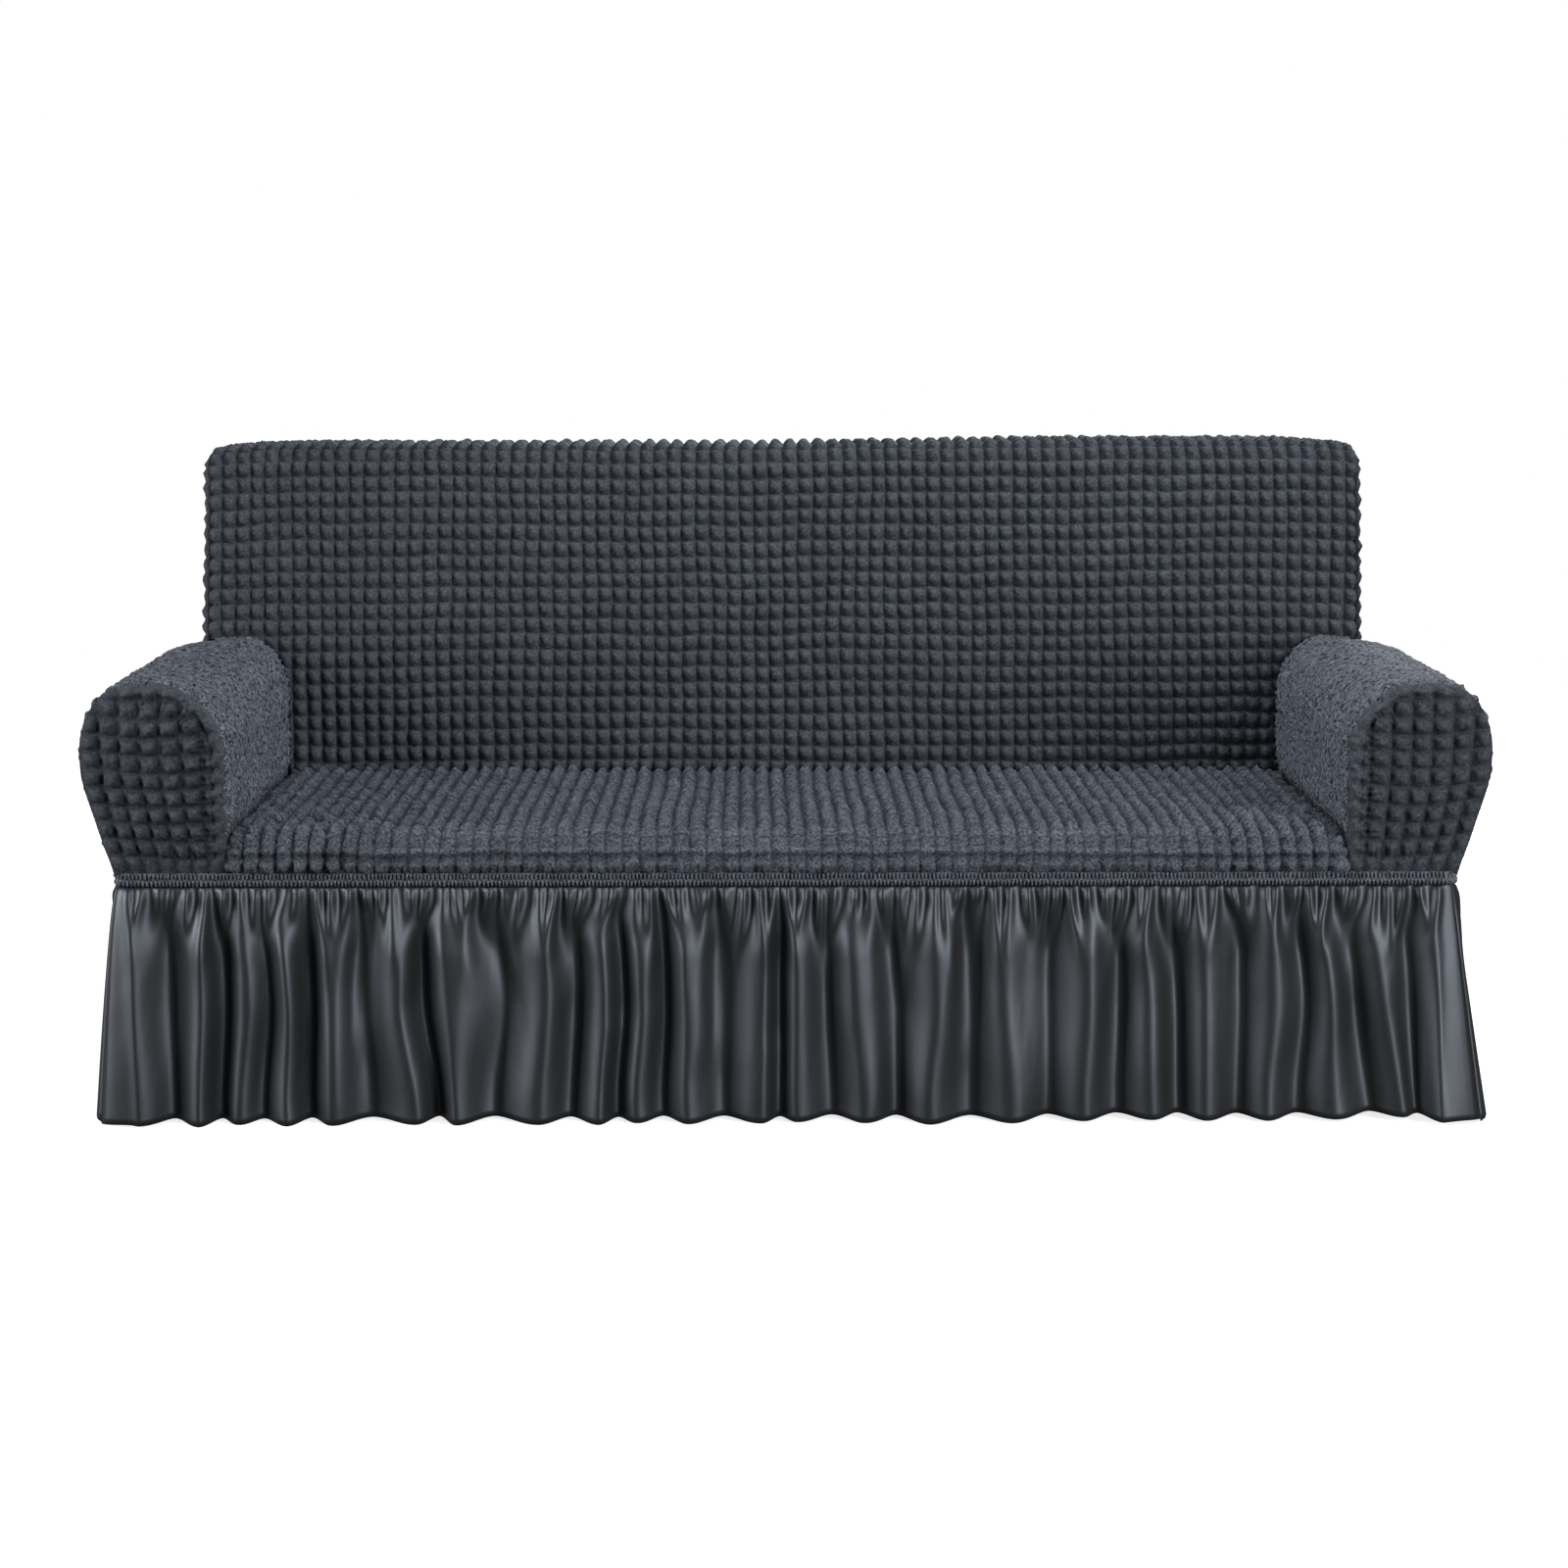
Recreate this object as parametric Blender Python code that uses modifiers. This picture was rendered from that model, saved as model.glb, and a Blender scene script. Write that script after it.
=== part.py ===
"""Stretch cover for a three-seat sofa with rolled arms, shown as it sits on the sofa.

The sofa itself is left out, so the cover is hollow and open underneath. Bubble cloth makes the back,
seat and arms. An elastic band runs all round below them, and a gathered satin skirt hangs from the
band to the floor. Metres, +Z up, +X to the right as seen from the front, the front at -Y. The origin
is on the floor, under the middle of the cover. Left and right are the viewer's, facing the front.
"""

import math
from typing import NamedTuple

import bpy
from mathutils import Vector

# ---------------------------------------------------------------- driving dimensions
SEAM_GAP = 0.0004  # between two panels at a seam
CLOTH = 0.002  # thickness of the bubble cloth and of the elastic band
SATIN = 0.0012  # thickness of the skirt

FOOT_Z = 0.3798  # lower edge of the bubble cloth, just above the band

FRONT_Y = -0.438  # plane of the arm fronts and of the seat's front drop
REAR_Y = 0.462  # plane of the outside back at its foot
HALF_BODY = 1.000  # half the width at the band
PLAN_CORNER = 0.020  # radius of the band's corners, seen from above

BAND_TOP = 0.379
BAND_HEIGHT = 0.021
BAND_BULGE = 0.002

SEAT_TOP = 0.433
SEAT_EDGE_RADIUS = 0.040
SEAT_CROWN = 0.007
SEAT_STATIONS_Y = (0.115, 0.015, -0.085, -0.185, -0.285, -0.355)  # rows of points between its rear and front edges
SEAT_COLUMNS = 16
SIDE_SEAM_Z = SEAT_TOP - CLOTH - SEAM_GAP / 2  # the arm panels and the back panel start here, beside the seat

ARM_INNER_X = 0.8355  # face of the arm towards the seat
ARM_ROLL_RADIUS = 0.105
ARM_ROLL_OUTER = 0.108  # half width of the roll's outer half
ARM_ROLL_X = ARM_INNER_X + ARM_ROLL_RADIUS
ARM_ROLL_Z = 0.556
ARM_ROLL_STEPS = 12
ARM_SHOULDER = 0.7  # below 1, the roll's outer shoulder is squarer than a circle
ARM_REAR_SHOULDER = 0.5
ARM_REAR_DROP = 0.006  # the roll is this much lower where it meets the back
ARM_TAPER_START_Y = 0.035  # from here to the back, the roll's overhang draws in
ARM_STATIONS_Y = (-0.385, -0.295, -0.205, -0.115, -0.025, 0.045, 0.09, 0.135, 0.165)
ARM_SWELL = 0.0025  # the cloth over the roll is this uneven
ARM_RIM = 0.012  # the arm front's rounded rim
ARM_RIM_FOOT = 0.005
ARM_RIM_BLEND = 0.08  # height above the band over which the rim grows from one to the other
ARM_RIM_SEAM = 0.0014  # between the rim's outer edge and the arm panel
ARM_FRONT_DOME = 0.008

BACK_FOOT_Y = 0.185  # inside back where it meets the seat
BACK_LEAN = 0.143  # run towards the rear for each metre of height
BACK_TOP = 0.973
BACK_TOP_RISE = 0.0065  # the top is this much higher towards its right end
BACK_END_START = 0.80  # from here outwards the top falls away
BACK_END_DROP = 0.010
BACK_EDGE_RADIUS = 0.045
BACK_TOP_REAR_Y = 0.435  # top seam with the outside back
BACK_REAR_DROP = 0.004  # the top falls this much from its crest to that seam
BACK_SWELL = 0.004  # the inside and outside back are this uneven
BACK_STEPS = 8  # rows of points up the inside back's straight part
BACK_HALF_LOW = 0.977  # half width beside the arms
BACK_HALF_HIGH = 0.973  # half width at the top
BACK_NARROWING = 0.25  # height over which it goes from one to the other
BACK_SIDE_ROUND = 0.030  # the cover's upright corners at the rear
ARM_CUT_TOP = 0.652  # the inside back is cut away for the arms below this
ARM_CUT_CLEARANCE = 0.0012  # between the arm's roll and the cut, upwards

OUTSIDE_LEVELS = (0.0, 0.09, 0.22, 0.36, 0.48, 0.62, 0.76, 0.88, 1.0)  # shares of the outside back's height
OUTSIDE_COLUMNS = 16
OUTSIDE_SIDE_SEAM = 0.0006  # more room under the turned top, at the boxed sides
SIDE_BLEND = 0.12  # height above the band over which the boxed sides draw in to the back's width

SKIRT_TOP = BAND_TOP - BAND_HEIGHT - SEAM_GAP
SKIRT_FLARE = 0.024  # the hem stands out this far from the band
SKIRT_LEVELS = (0.0, 0.14, 0.40, 1.0)  # rows of points, as shares of the way down from the band
FOLD_FULL = 0.40  # the broad folds have their full depth from here down
CORNER_REACH = 0.070  # the skirt stands out more within this distance of a corner
SKIRT_SEAM = 0.002  # between two sides of the skirt, at a corner
HEM_CLEARANCE = 0.0005
SKIRT_GATHER = 0.0025  # small gathers where the skirt is sewn to the band


class ArmStation(NamedTuple):
    """One point of the arm's lower outer side, below the roll."""

    front_x: float
    rear_x: float
    z: float


ARM_OUTER_SIDE = (
    ArmStation(front_x=1.0455, rear_x=0.9800, z=0.515),
    ArmStation(front_x=1.0285, rear_x=0.9865, z=0.455),
    ArmStation(front_x=1.0155, rear_x=0.9950, z=0.415),
    ArmStation(front_x=1.0010, rear_x=1.0000, z=FOOT_Z),
)


class Fold(NamedTuple):
    """One broad fold of the front skirt, in millimetres from the middle."""

    top: float  # where its ridge leaves the band
    hem: float  # where its ridge meets the hem
    depth: float  # from its ridge to the valley after it
    lift: float  # height of the hem above the floor


FRONT_FOLDS = (
    Fold(top=-973, hem=-992, depth=22, lift=2),
    Fold(top=-877, hem=-901, depth=38, lift=0),
    Fold(top=-810, hem=-836, depth=24, lift=0),
    Fold(top=-756, hem=-756, depth=34, lift=0),
    Fold(top=-680, hem=-689, depth=34, lift=1),
    Fold(top=-582, hem=-580, depth=34, lift=2),
    Fold(top=-512, hem=-509, depth=40, lift=2),
    Fold(top=-357, hem=-377, depth=36, lift=1),
    Fold(top=-278, hem=-283, depth=32, lift=1),
    Fold(top=-230, hem=-220, depth=26, lift=2),
    Fold(top=-158, hem=-143, depth=38, lift=3),
    Fold(top=-32, hem=-33, depth=28, lift=2),
    Fold(top=15, hem=21, depth=26, lift=3),
    Fold(top=102, hem=108, depth=36, lift=3),
    Fold(top=216, hem=231, depth=38, lift=1),
    Fold(top=332, hem=348, depth=34, lift=2),
    Fold(top=450, hem=467, depth=36, lift=5),
    Fold(top=529, hem=556, depth=30, lift=6),
    Fold(top=613, hem=642, depth=34, lift=5),
    Fold(top=721, hem=744, depth=32, lift=4),
    Fold(top=789, hem=849, depth=32, lift=6),
    Fold(top=868, hem=948, depth=28, lift=8),
    Fold(top=963, hem=1000, depth=20, lift=8),
)


class CornerFlare(NamedTuple):
    """How much further the skirt stands out at one of its corners."""

    size: float  # at the hem
    rise: float  # power of the way down: below 1, it puffs out right under the band


FRONT_LEFT = CornerFlare(size=0.024, rise=0.35)
FRONT_RIGHT = CornerFlare(size=0.041, rise=1.0)
REAR_RIGHT = CornerFlare(size=0.034, rise=0.8)
REAR_LEFT = CornerFlare(size=0.028, rise=0.5)
SIDE_CORNERS = {  # from a side's start to its end, as its folds are counted
    "front": (FRONT_LEFT, FRONT_RIGHT),
    "right": (FRONT_RIGHT, REAR_RIGHT),
    "rear": (REAR_RIGHT, REAR_LEFT),
    "left": (REAR_LEFT, FRONT_LEFT),
}

FOLD_COLUMNS = 6  # points across one fold of the front skirt
HIDDEN_FOLD_COLUMNS = 4  # and of the sides and rear
SIDE_FOLD_PITCH = 0.080
REAR_FOLD_PITCH = 0.086
HIDDEN_FOLD_DEPTH = 0.030

BUBBLE_BACK_COLOUR = (0.050, 0.057, 0.070, 1.0)
BUBBLE_ARM_COLOUR = (0.072, 0.081, 0.098, 1.0)
BAND_COLOUR = (0.048, 0.054, 0.064, 1.0)
SATIN_COLOUR = (0.036, 0.037, 0.041, 1.0)


# ---------------------------------------------------------------- small helpers
def smooth(t):
    """An ease from 0 to 1 as t goes from 0 to 1, flat at both ends."""
    t = min(1.0, max(0.0, t))
    return t * t * (3.0 - 2.0 * t)


def mix(a, b, t):
    """The value a share t of the way from a to b."""
    return a + (b - a) * t


def spread(low, high, count):
    """count + 1 evenly spaced values from low to high."""
    return [mix(low, high, i / count) for i in range(count + 1)]


def clear_scene():
    for thing in list(bpy.data.objects):
        bpy.data.objects.remove(thing, do_unlink=True)


def new_collection(name):
    group = bpy.data.collections.new(name)
    bpy.context.scene.collection.children.link(group)
    return group


def new_material(name, colour, roughness):
    material = bpy.data.materials.new(name)
    material.use_nodes = True
    shader = material.node_tree.nodes["Principled BSDF"]
    shader.inputs["Base Color"].default_value = colour
    shader.inputs["Roughness"].default_value = roughness
    shader.inputs["Metallic"].default_value = 0.0
    material.diffuse_color = colour
    return material


def new_object(name, points, faces, group, material=None):
    mesh = bpy.data.meshes.new(name)
    mesh.from_pydata([tuple(p) for p in points], [], faces)
    mesh.validate()
    mesh.shade_smooth()
    thing = bpy.data.objects.new(name, mesh)
    group.objects.link(thing)
    if material is not None:
        mesh.materials.append(material)
    return thing


def thicken(thing, thickness):
    """Gives an open surface its thickness, grown inwards from its outer side."""
    wall = thing.modifiers.new("Cloth thickness", "SOLIDIFY")
    wall.thickness = thickness
    wall.offset = -1.0
    wall.use_even_offset = True
    wall.use_quality_normals = True
    return wall


def cloth_from_rows(name, rows, thickness, group, material, ring=False, turn=False):
    """A sheet lofted through rows of points. A ring joins each row's end to its start."""
    across = len(rows[0])
    points = [p for row in rows for p in row]
    faces = []
    for r in range(len(rows) - 1):
        for c in range(across if ring else across - 1):
            d = (c + 1) % across
            quad = (r * across + c, r * across + d, (r + 1) * across + d, (r + 1) * across + c)
            faces.append(quad[::-1] if turn else quad)
    sheet = new_object(name, points, faces, group, material)
    thicken(sheet, thickness)
    return sheet


def mirrored(rows):
    """The same rows on the other side of the middle, in the same order."""
    return [[Vector((-p[0], p[1], p[2])) for p in row] for row in rows]


def sag(a, b, phase):
    """A slow, uneven swell between -1 and 1, for cloth stretched over upholstery."""
    one = math.sin(7.3 * a + 2.1 * b + phase)
    two = math.sin(3.1 * a - 8.7 * b + 1.7 * phase)
    three = math.sin(13.9 * a + 5.3 * b + 0.6 * phase)
    return 0.5 * one + 0.3 * two + 0.2 * three


# ---------------------------------------------------------------- the sofa's form under the cloth
def back_face_y(z):
    """The inside back's plane."""
    return BACK_FOOT_Y + BACK_LEAN * max(0.0, z - SEAT_TOP)


def back_half_width(z):
    """Half the back's width, which narrows a little above the arms."""
    share = min(1.0, max(0.0, (z - ARM_CUT_TOP) / BACK_NARROWING))
    return mix(BACK_HALF_LOW, BACK_HALF_HIGH, share)


def back_top_z(x):
    """Height of the back's top, which rises a little to the right and falls away softly at both ends."""
    rise = BACK_TOP_RISE * smooth((x + 0.05) / 0.55)
    end = BACK_END_DROP * (max(0.0, abs(x) - BACK_END_START) / (BACK_HALF_HIGH - BACK_END_START)) ** 2
    return BACK_TOP + rise - end


def rear_face_y(z):
    """The outside back, which leans in slightly towards the top."""
    return mix(REAR_Y, BACK_TOP_REAR_Y, (z - BAND_TOP) / (BACK_TOP - BAND_TOP))


def side_half(z):
    """Half width of the boxed sides, which meet the band below and the back's edge above."""
    return mix(HALF_BODY, back_half_width(z), smooth((z - BAND_TOP) / SIDE_BLEND))


def arm_taper(y):
    """0 along the arm, rising to 1 where its overhang has drawn in to the back's side."""
    return smooth((y - ARM_TAPER_START_Y) / (BACK_FOOT_Y - ARM_TAPER_START_Y))


def arm_rim_depth(z):
    """How far the rounded rim of an arm front turns back at this height."""
    return mix(ARM_RIM_FOOT, ARM_RIM, smooth((z - BAND_TOP) / ARM_RIM_BLEND))


def arm_section(y):
    """(x, z) of the right arm's section at y, from the seat over the roll to the band."""
    t = arm_taper(y)
    points = [(ARM_INNER_X, z) for z in (SIDE_SEAM_Z, 0.475, 0.515)]
    rear_roll_x = (ARM_INNER_X + BACK_HALF_LOW + CLOTH) / 2
    rear_half_width = rear_roll_x - ARM_INNER_X
    for angle in spread(0.0, math.pi, ARM_ROLL_STEPS):
        c = math.cos(angle)
        s = math.sin(angle)
        front_z = ARM_ROLL_Z + ARM_ROLL_RADIUS * s
        rear_z = ARM_ROLL_Z + (ARM_ROLL_RADIUS - ARM_REAR_DROP) * s
        if c >= 0:
            front_x = ARM_ROLL_X - ARM_ROLL_RADIUS * c
            rear_x = rear_roll_x - rear_half_width * c
        else:
            front_x = ARM_ROLL_X + ARM_ROLL_OUTER * (-c) ** ARM_SHOULDER
            rear_x = rear_roll_x + rear_half_width * (-c) ** ARM_REAR_SHOULDER
            rear_z = ARM_ROLL_Z + (ARM_ROLL_RADIUS - ARM_REAR_DROP) * s**ARM_REAR_SHOULDER
        points.append((mix(front_x, rear_x, t), mix(front_z, rear_z, t)))
    points += [(mix(side.front_x, side.rear_x, t), side.z) for side in ARM_OUTER_SIDE]
    return points


# ---------------------------------------------------------------- panels
def make_seat(group, material):
    """Seat panel: the flat of the seat and its drop over the front edge."""
    half = ARM_INNER_X - SEAM_GAP
    rear_y = BACK_FOOT_Y - SEAM_GAP
    turn_y = FRONT_Y + SEAT_EDGE_RADIUS
    path = [(y, SEAT_TOP) for y in (rear_y, *SEAT_STATIONS_Y, turn_y)]
    for angle in (30, 60, 90):
        a = math.radians(angle)
        drop = SEAT_EDGE_RADIUS * (1 - math.cos(a))
        path.append((turn_y - SEAT_EDGE_RADIUS * math.sin(a), SEAT_TOP - drop))
    path.append((FRONT_Y, FOOT_Z))
    rows = []
    for y, z in path:
        row = []
        for u in spread(-1, 1, SEAT_COLUMNS):
            length_share = (y - turn_y) / (rear_y - turn_y)
            inside = max(0.0, math.sin(math.pi * min(1.0, max(0.0, length_share))))
            edge = 1 - abs(u) ** 6
            swell = SEAT_CROWN * (0.75 + 0.35 * sag(u, y, 0.4)) * inside * edge
            row.append(Vector((u * half, y, z + swell)))
        rows.append(row)
    return cloth_from_rows("seat_panel", rows, CLOTH, group, material, turn=True)


def back_path(x_share):
    """The inside back's line from the seat over the top, at a share of its half width."""
    crest = back_top_z(x_share * BACK_HALF_HIGH)
    turn_z = crest - BACK_EDGE_RADIUS
    points = []
    for z in spread(SIDE_SEAM_Z, turn_z, BACK_STEPS):
        inside = math.sin(math.pi * (z - SIDE_SEAM_Z) / (turn_z - SIDE_SEAM_Z))
        beside_arm = smooth((0.80 - abs(x_share)) / 0.15)
        swell = BACK_SWELL * sag(2 * x_share, 2 * z, 1.3) * inside * beside_arm
        points.append(Vector((x_share * back_half_width(z), back_face_y(z) - swell, z)))
    turn_y = back_face_y(turn_z) + BACK_EDGE_RADIUS
    for angle in (30, 60, 90):
        a = math.radians(angle)
        y = turn_y - BACK_EDGE_RADIUS * math.cos(a)
        z = turn_z + BACK_EDGE_RADIUS * math.sin(a)
        points.append(Vector((x_share * BACK_HALF_HIGH, y, z)))
    for share in (0.5, 1.0):
        y = mix(turn_y, BACK_TOP_REAR_Y, share)
        points.append(Vector((x_share * BACK_HALF_HIGH, y, crest - BACK_REAR_DROP * share)))
    return points


def arm_cutter(side, group):
    """The outline that the inside back is cut to, where it passes round the end of an arm."""
    under = CLOTH - SEAM_GAP
    low_z = SEAT_TOP - 0.02
    far_x = BACK_HALF_LOW + 0.03
    section = [(x, z) for x, z in arm_section(BACK_FOOT_Y) if z > ARM_ROLL_Z and x < ARM_ROLL_X - 0.03]
    outline = [(ARM_INNER_X + under, low_z), (ARM_INNER_X + under, ARM_ROLL_Z)]
    outline += [(x + under, min(ARM_CUT_TOP, z - ARM_CUT_CLEARANCE)) for x, z in section]
    outline += [(far_x, ARM_CUT_TOP), (far_x, low_z)]
    count = len(outline)
    near = [Vector((side * x, BACK_FOOT_Y - 0.03, z)) for x, z in outline]
    far = [Vector((side * x, BACK_FOOT_Y + 0.09, z)) for x, z in outline]
    faces = [tuple(range(count)), tuple(range(2 * count - 1, count - 1, -1))]
    faces += [(i, i + count, (i + 1) % count + count, (i + 1) % count) for i in range(count)]
    if side > 0:
        faces = [face[::-1] for face in faces]
    cutter = new_object("arm_cutter", near + far, faces, group)
    cutter.hide_render = True
    cutter.display_type = "WIRE"
    return cutter


def make_inside_back(group, cutters, material):
    """Back panel: the inside back and its turn over the top, cut round the ends of the arms."""
    shares = [-1.0, -0.985, -0.96, -0.92, *spread(-0.86, 0.86, 18), 0.92, 0.96, 0.985, 1.0]
    columns = [back_path(share) for share in shares]
    panel = cloth_from_rows("back_panel", columns, CLOTH, group, material, turn=True)
    for side in (-1, 1):
        cut = panel.modifiers.new("Cut round the arm", "BOOLEAN")
        cut.operation = "DIFFERENCE"
        cut.object = arm_cutter(side, cutters)
    return panel


def boxed_side(side, level):
    """One level's points on a boxed side, from the back panel's edge round the rear corner."""
    inset = CLOTH + SEAM_GAP
    corner = BACK_SIDE_ROUND
    bend = back_path(side)[BACK_STEPS:]  # from the end of the straight front edge, over the top
    front_top = bend[0]
    deepest = BACK_TOP_REAR_Y - corner
    tops = []  # (share of the side's depth, height of the top edge)
    for point in bend:
        if point.y < deepest - 0.004:
            depth = (point.y - front_top.y) / (deepest - front_top.y)
            tops.append((depth, point.z - inset - OUTSIDE_SIDE_SEAM))
    corner_top = back_top_z(side * BACK_HALF_HIGH) - BACK_REAR_DROP - inset - OUTSIDE_SIDE_SEAM
    tops.append((1.0, corner_top))
    row = []
    for depth, top in tops:
        z = mix(FOOT_Z, top, level)
        near_y = back_face_y(min(z, front_top.z)) + inset + 2 * SEAM_GAP
        y = mix(near_y, rear_face_y(z) - corner, depth)
        row.append(Vector((side * side_half(z), y, z)))
    z = mix(FOOT_Z, corner_top, level)
    for angle in (30, 60, 90):
        a = math.radians(angle)
        x = side_half(z) - corner * (1 - math.cos(a))
        y = rear_face_y(z) - corner * (1 - math.sin(a))
        row.append(Vector((side * x, y, z)))
    return row


def make_outside_back(group, material):
    """Outside back with its boxed sides, in one piece round both rear corners."""
    seam_drop = BACK_REAR_DROP + CLOTH + SEAM_GAP
    rows = []
    for level in OUTSIDE_LEVELS:
        row = boxed_side(1, level)
        flat = row[-1].x
        for share in spread(1, -1, OUTSIDE_COLUMNS)[1:-1]:
            top = back_top_z(share * (BACK_HALF_HIGH - BACK_SIDE_ROUND)) - seam_drop
            z = mix(FOOT_Z, top, level)
            swell = BACK_SWELL * sag(share * 2, z, 2.6) * math.sin(math.pi * level)
            row.append(Vector((share * flat, rear_face_y(z) + swell, z)))
        row += reversed(boxed_side(-1, level))
        rows.append(row)
    return cloth_from_rows("outside_back", rows, CLOTH, group, material)


def make_arm_wrap(name, side, group, material):
    """Arm panel: from the seat, over the roll and down the outer side to the band."""
    front = []
    for x, z in arm_section(FRONT_Y):
        front.append(Vector((x, FRONT_Y + arm_rim_depth(z) + ARM_RIM_SEAM, z)))
    rows = [front]
    for y in ARM_STATIONS_Y:
        row = []
        for index, (x, z) in enumerate(arm_section(y)):
            round_share = smooth((index - 2) / 4) * smooth((18 - index) / 4)
            swell = ARM_SWELL * sag(3 * y, 0.5 * index, 0.9 + side) * round_share
            out_x = swell * (x - ARM_ROLL_X) / ARM_ROLL_RADIUS
            out_z = swell * (z - ARM_ROLL_Z) / ARM_ROLL_RADIUS
            row.append(Vector((x + out_x, y, z + out_z)))
        rows.append(row)
    last = []
    for x, z in arm_section(BACK_FOOT_Y):
        outside = x > ARM_ROLL_X and z < ARM_CUT_TOP - 0.004
        end_y = back_face_y(z) + (CLOTH if outside else -SEAM_GAP)
        last.append(Vector((x, end_y, z)))
    rows.append(last)
    if side < 0:
        rows = mirrored(rows)
    return cloth_from_rows(name, rows, CLOTH, group, material, turn=side < 0)


def make_arm_front(name, side, group, material):
    """Arm front: a softly domed face with a rounded rim, as wide as the arm and down to the band."""
    rim = [(ARM_INNER_X, FOOT_Z), (ARM_INNER_X, 0.405)]
    rim += arm_section(FRONT_Y)
    outer_foot = rim[-1][0]
    rim += [(mix(outer_foot, ARM_INNER_X, share), FOOT_Z) for share in (0.2, 0.4, 0.6, 0.8)]
    centre = Vector((ARM_ROLL_X - 0.010, FRONT_Y - ARM_FRONT_DOME, 0.53))
    foot = [z <= FOOT_Z + 1e-6 and ARM_INNER_X < x < outer_foot for x, z in rim]
    rings = []
    for inset, setback in ((0.0, 1.0), (0.293, 0.293), (1.0, 0.0)):
        ring = []
        for (x, z), on_foot in zip(rim, foot, strict=True):
            depth = arm_rim_depth(z)
            reach = math.hypot(x - centre.x, z - centre.z)
            keep = 1 - inset * depth / reach
            y = FRONT_Y if on_foot else FRONT_Y + setback * depth
            ring.append(Vector((mix(centre.x, x, keep), y, mix(centre.z, z, keep))))
        rings.append(ring)
    for scale in (0.66, 0.33):
        y = FRONT_Y - ARM_FRONT_DOME * (1 - scale**2)
        ring = [Vector((mix(centre.x, p.x, scale), y, mix(centre.z, p.z, scale))) for p in rings[2]]
        rings.append(ring)
    count = len(rim)
    points = [p for ring in rings for p in ring] + [centre]
    faces = []
    for r in range(len(rings) - 1):
        for i in range(count):
            j = (i + 1) % count
            faces.append((r * count + i, r * count + j, (r + 1) * count + j, (r + 1) * count + i))
    last = (len(rings) - 1) * count
    faces += [(last + i, last + (i + 1) % count, len(points) - 1) for i in range(count)]
    if side < 0:
        points = [Vector((-p.x, p.y, p.z)) for p in points]
    else:
        faces = [face[::-1] for face in faces]
    panel = new_object(name, points, faces, group, material)
    thicken(panel, CLOTH)
    return panel


# ---------------------------------------------------------------- band and skirt
def plan_point(side, along, outset):
    """A point on one side of the cover's outline, seen from above, pushed outwards by outset.

    side is front, right, rear or left. along is measured from that side's middle, and past the
    straight part it runs round the corner. Returns x and y.
    """
    middle_y = (FRONT_Y + REAR_Y) / 2
    half_depth = (REAR_Y - FRONT_Y) / 2
    half = HALF_BODY if side in ("front", "rear") else half_depth
    other = half_depth if side in ("front", "rear") else HALF_BODY
    straight = half - PLAN_CORNER
    reach = min(abs(along), straight)
    turn = (abs(along) - reach) / PLAN_CORNER
    sign = math.copysign(1.0, along)
    right = sign * (reach + (PLAN_CORNER + outset) * math.sin(turn))
    out = other - PLAN_CORNER + (PLAN_CORNER + outset) * math.cos(turn)
    if side == "front":
        return right, middle_y - out
    if side == "rear":
        return -right, middle_y + out
    if side == "right":
        return out, middle_y + right
    return -out, middle_y - right


def side_reach(side):
    """How far along a side its corner's middle lies from the side's own middle."""
    half = HALF_BODY if side in ("front", "rear") else (REAR_Y - FRONT_Y) / 2
    return half - PLAN_CORNER + PLAN_CORNER * math.pi / 4


def make_band(group, material):
    """Elastic band: a ring sewn between the bubble cloth and the skirt."""
    rows = []
    for share in spread(0, 1, 2):
        z = BAND_TOP - BAND_HEIGHT * share
        bulge = BAND_BULGE * math.sin(math.pi * share)
        row = []
        for side, parts in (("front", 16), ("right", 8), ("rear", 12), ("left", 8)):
            reach = side_reach(side)
            corner = PLAN_CORNER * math.pi / 4
            stations = [-reach, -reach + corner / 2]
            stations += spread(-reach + corner, reach - corner, parts)
            stations.append(reach - corner / 2)
            for along in stations:
                x, y = plan_point(side, along, bulge)
                row.append(Vector((x, y, z)))
        rows.append(row)
    return cloth_from_rows("elastic_band", rows, CLOTH, group, material, ring=True, turn=True)


def hidden_folds(side, pitch):
    """Folds of a side that the front view hides, uneven in the same way as the front ones."""
    reach = side_reach(side)
    count = round(2 * reach / pitch)
    folds = []
    for i in range(count + 1):
        at = mix(-reach, reach, i / count)
        free = math.sin(math.pi * i / count)
        shift = 0.22 * pitch * math.sin(2.3 * i + len(side)) * min(1.0, 3 * free)
        depth = HIDDEN_FOLD_DEPTH * (1 + 0.25 * math.sin(1.9 * i + 2)) * min(1.0, 0.6 + free)
        lift = 3 + 2 * math.sin(0.8 * i)
        hem = 1000 * (at + shift)
        top = hem - 6 * math.sin(1.3 * i) * free
        folds.append(Fold(top=top, hem=hem, depth=1000 * depth, lift=lift))
    return folds


def corner_outset(side, along, level):
    """How much further the skirt stands out near the two corners of a side."""
    flare = SIDE_CORNERS[side][0 if along < 0 else 1]
    near = smooth(1 - (side_reach(side) - abs(along)) / CORNER_REACH)
    return flare.size * level**flare.rise * near


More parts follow.
